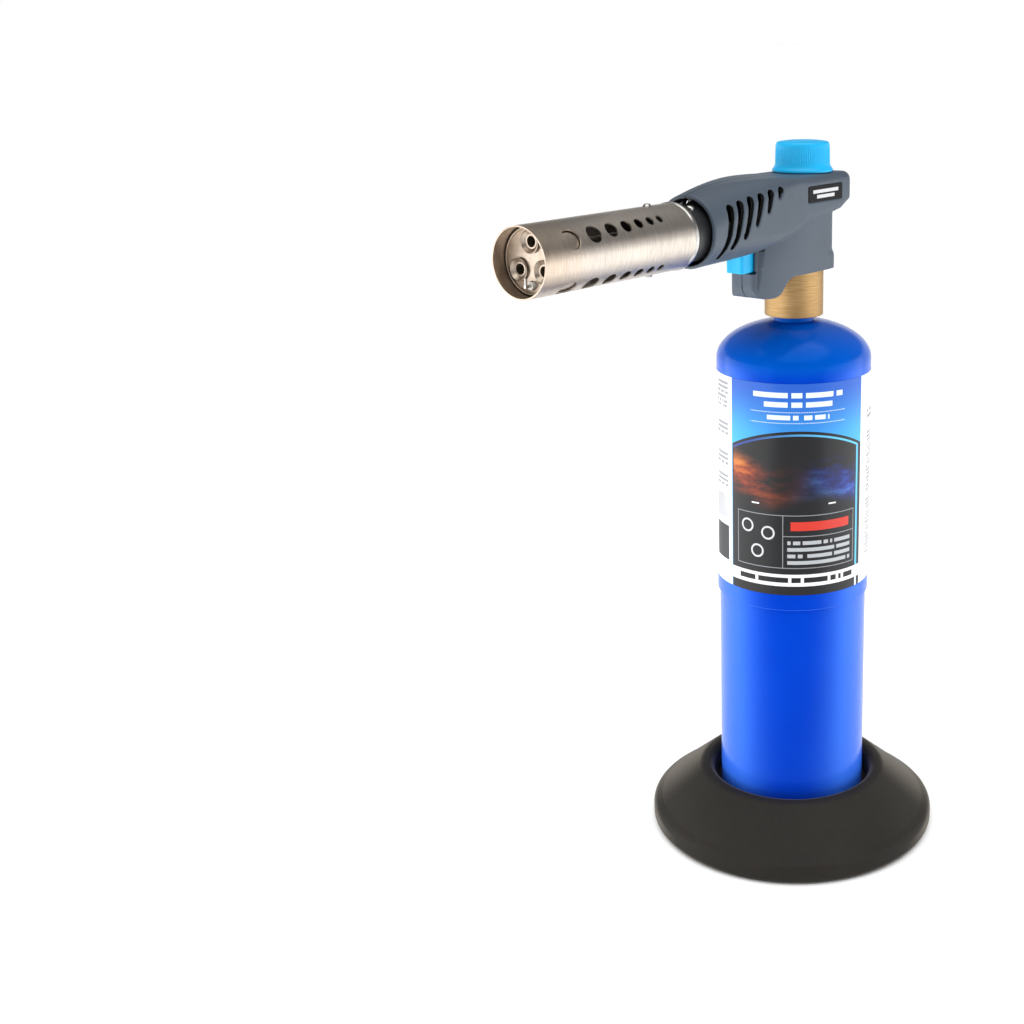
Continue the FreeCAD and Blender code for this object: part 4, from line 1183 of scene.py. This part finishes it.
def soft_box(name, place, aim, size, power):
    """A rectangular studio lamp that the camera itself does not see."""
    light = bpy.data.lights.new(name, "AREA")
    light.shape = "RECTANGLE"
    light.size, light.size_y = size
    light.energy = power
    lamp = bpy.data.objects.new(name, light)
    bpy.context.scene.collection.objects.link(lamp)
    lamp.location = place
    lamp.rotation_mode = "QUATERNION"
    lamp.rotation_quaternion = (Vector(aim) - Vector(place)).to_track_quat("-Z", "Y")
    lamp.visible_camera = False


def round_axis(azimuth, reach, height):
    """A place at an azimuth in degrees round the cylinder, in metres."""
    turn = math.radians(azimuth)
    return (reach * math.cos(turn), reach * math.sin(turn), height)


def make_world():
    """A plain sky: white to a little over the horizon, then dim, and paler again overhead."""
    world = bpy.data.worlds.new("studio")
    world.use_nodes = True
    tree = world.node_tree
    place = tree.nodes.new("ShaderNodeTexCoord")
    split = tree.nodes.new("ShaderNodeSeparateXYZ")
    shade = tree.nodes.new("ShaderNodeValToRGB")
    background = tree.nodes["Background"]
    tree.links.new(place.outputs["Generated"], split.inputs[0])
    tree.links.new(split.outputs[2], shade.inputs[0])
    tree.links.new(shade.outputs[0], background.inputs["Color"])
    stops = ((0.0, 1.0), (0.2, 1.0), (0.27, 0.1), (0.45, 0.26), (1.0, 0.42))
    ramp = shade.color_ramp.elements
    while len(ramp) < len(stops):
        ramp.new(0.5)
    for element, (level, grey) in zip(ramp, stops):
        element.position = level
        element.color = (grey, grey, grey, 1)
    background.inputs["Strength"].default_value = 1.0
    bpy.context.scene.world = world


def make_lamps():
    """Two wide boxes beside the cylinder and one wide, soft light from above."""
    reach = 0.34
    height = 0.16
    aim = (0, 0, height)
    soft_box("left_box", round_axis(141, reach, height), aim, (0.66, 0.32), 1.2)
    soft_box("right_box", round_axis(-65, reach, height), aim, (0.5, 0.32), 0.75)
    top = bpy.data.lights.new("top_light", "SUN")
    top.energy = 2.35
    top.angle = math.radians(70)
    lamp = bpy.data.objects.new("top_light", top)
    bpy.context.scene.collection.objects.link(lamp)
    lamp.rotation_euler = (math.radians(8), math.radians(-10), 0)


# Place in metres, direction and roll in radians of the photograph's viewpoint.
CAMERA_PLACE = (-0.58042, -0.39474, 0.39475)
CAMERA_LOOKS = (0.76319, 0.59533, -0.25125)
CAMERA_ROLL = -0.0114


def make_camera():
    """A camera at the photograph's viewing angle, shifted so that the frame matches too."""
    camera = bpy.data.cameras.new("camera")
    camera.lens = 51.85
    camera.sensor_width = 36.0
    camera.shift_x = -0.1836
    camera.shift_y = -0.0898
    camera.clip_start = 0.01
    lens = bpy.data.objects.new("camera", camera)
    bpy.context.scene.collection.objects.link(lens)
    forward = Vector(CAMERA_LOOKS).normalized()
    level = forward.cross(Vector((0, 0, 1))).normalized()
    upward = level.cross(forward)
    side = level * math.cos(CAMERA_ROLL) + upward * math.sin(CAMERA_ROLL)
    above = upward * math.cos(CAMERA_ROLL) - level * math.sin(CAMERA_ROLL)
    turn = Matrix((side, above, -forward)).transposed().to_4x4()
    lens.matrix_world = Matrix.Translation(CAMERA_PLACE) @ turn
    bpy.context.scene.camera = lens


make_floor()
make_world()
make_lamps()
make_camera()
bpy.context.scene.view_settings.view_transform = "Standard"
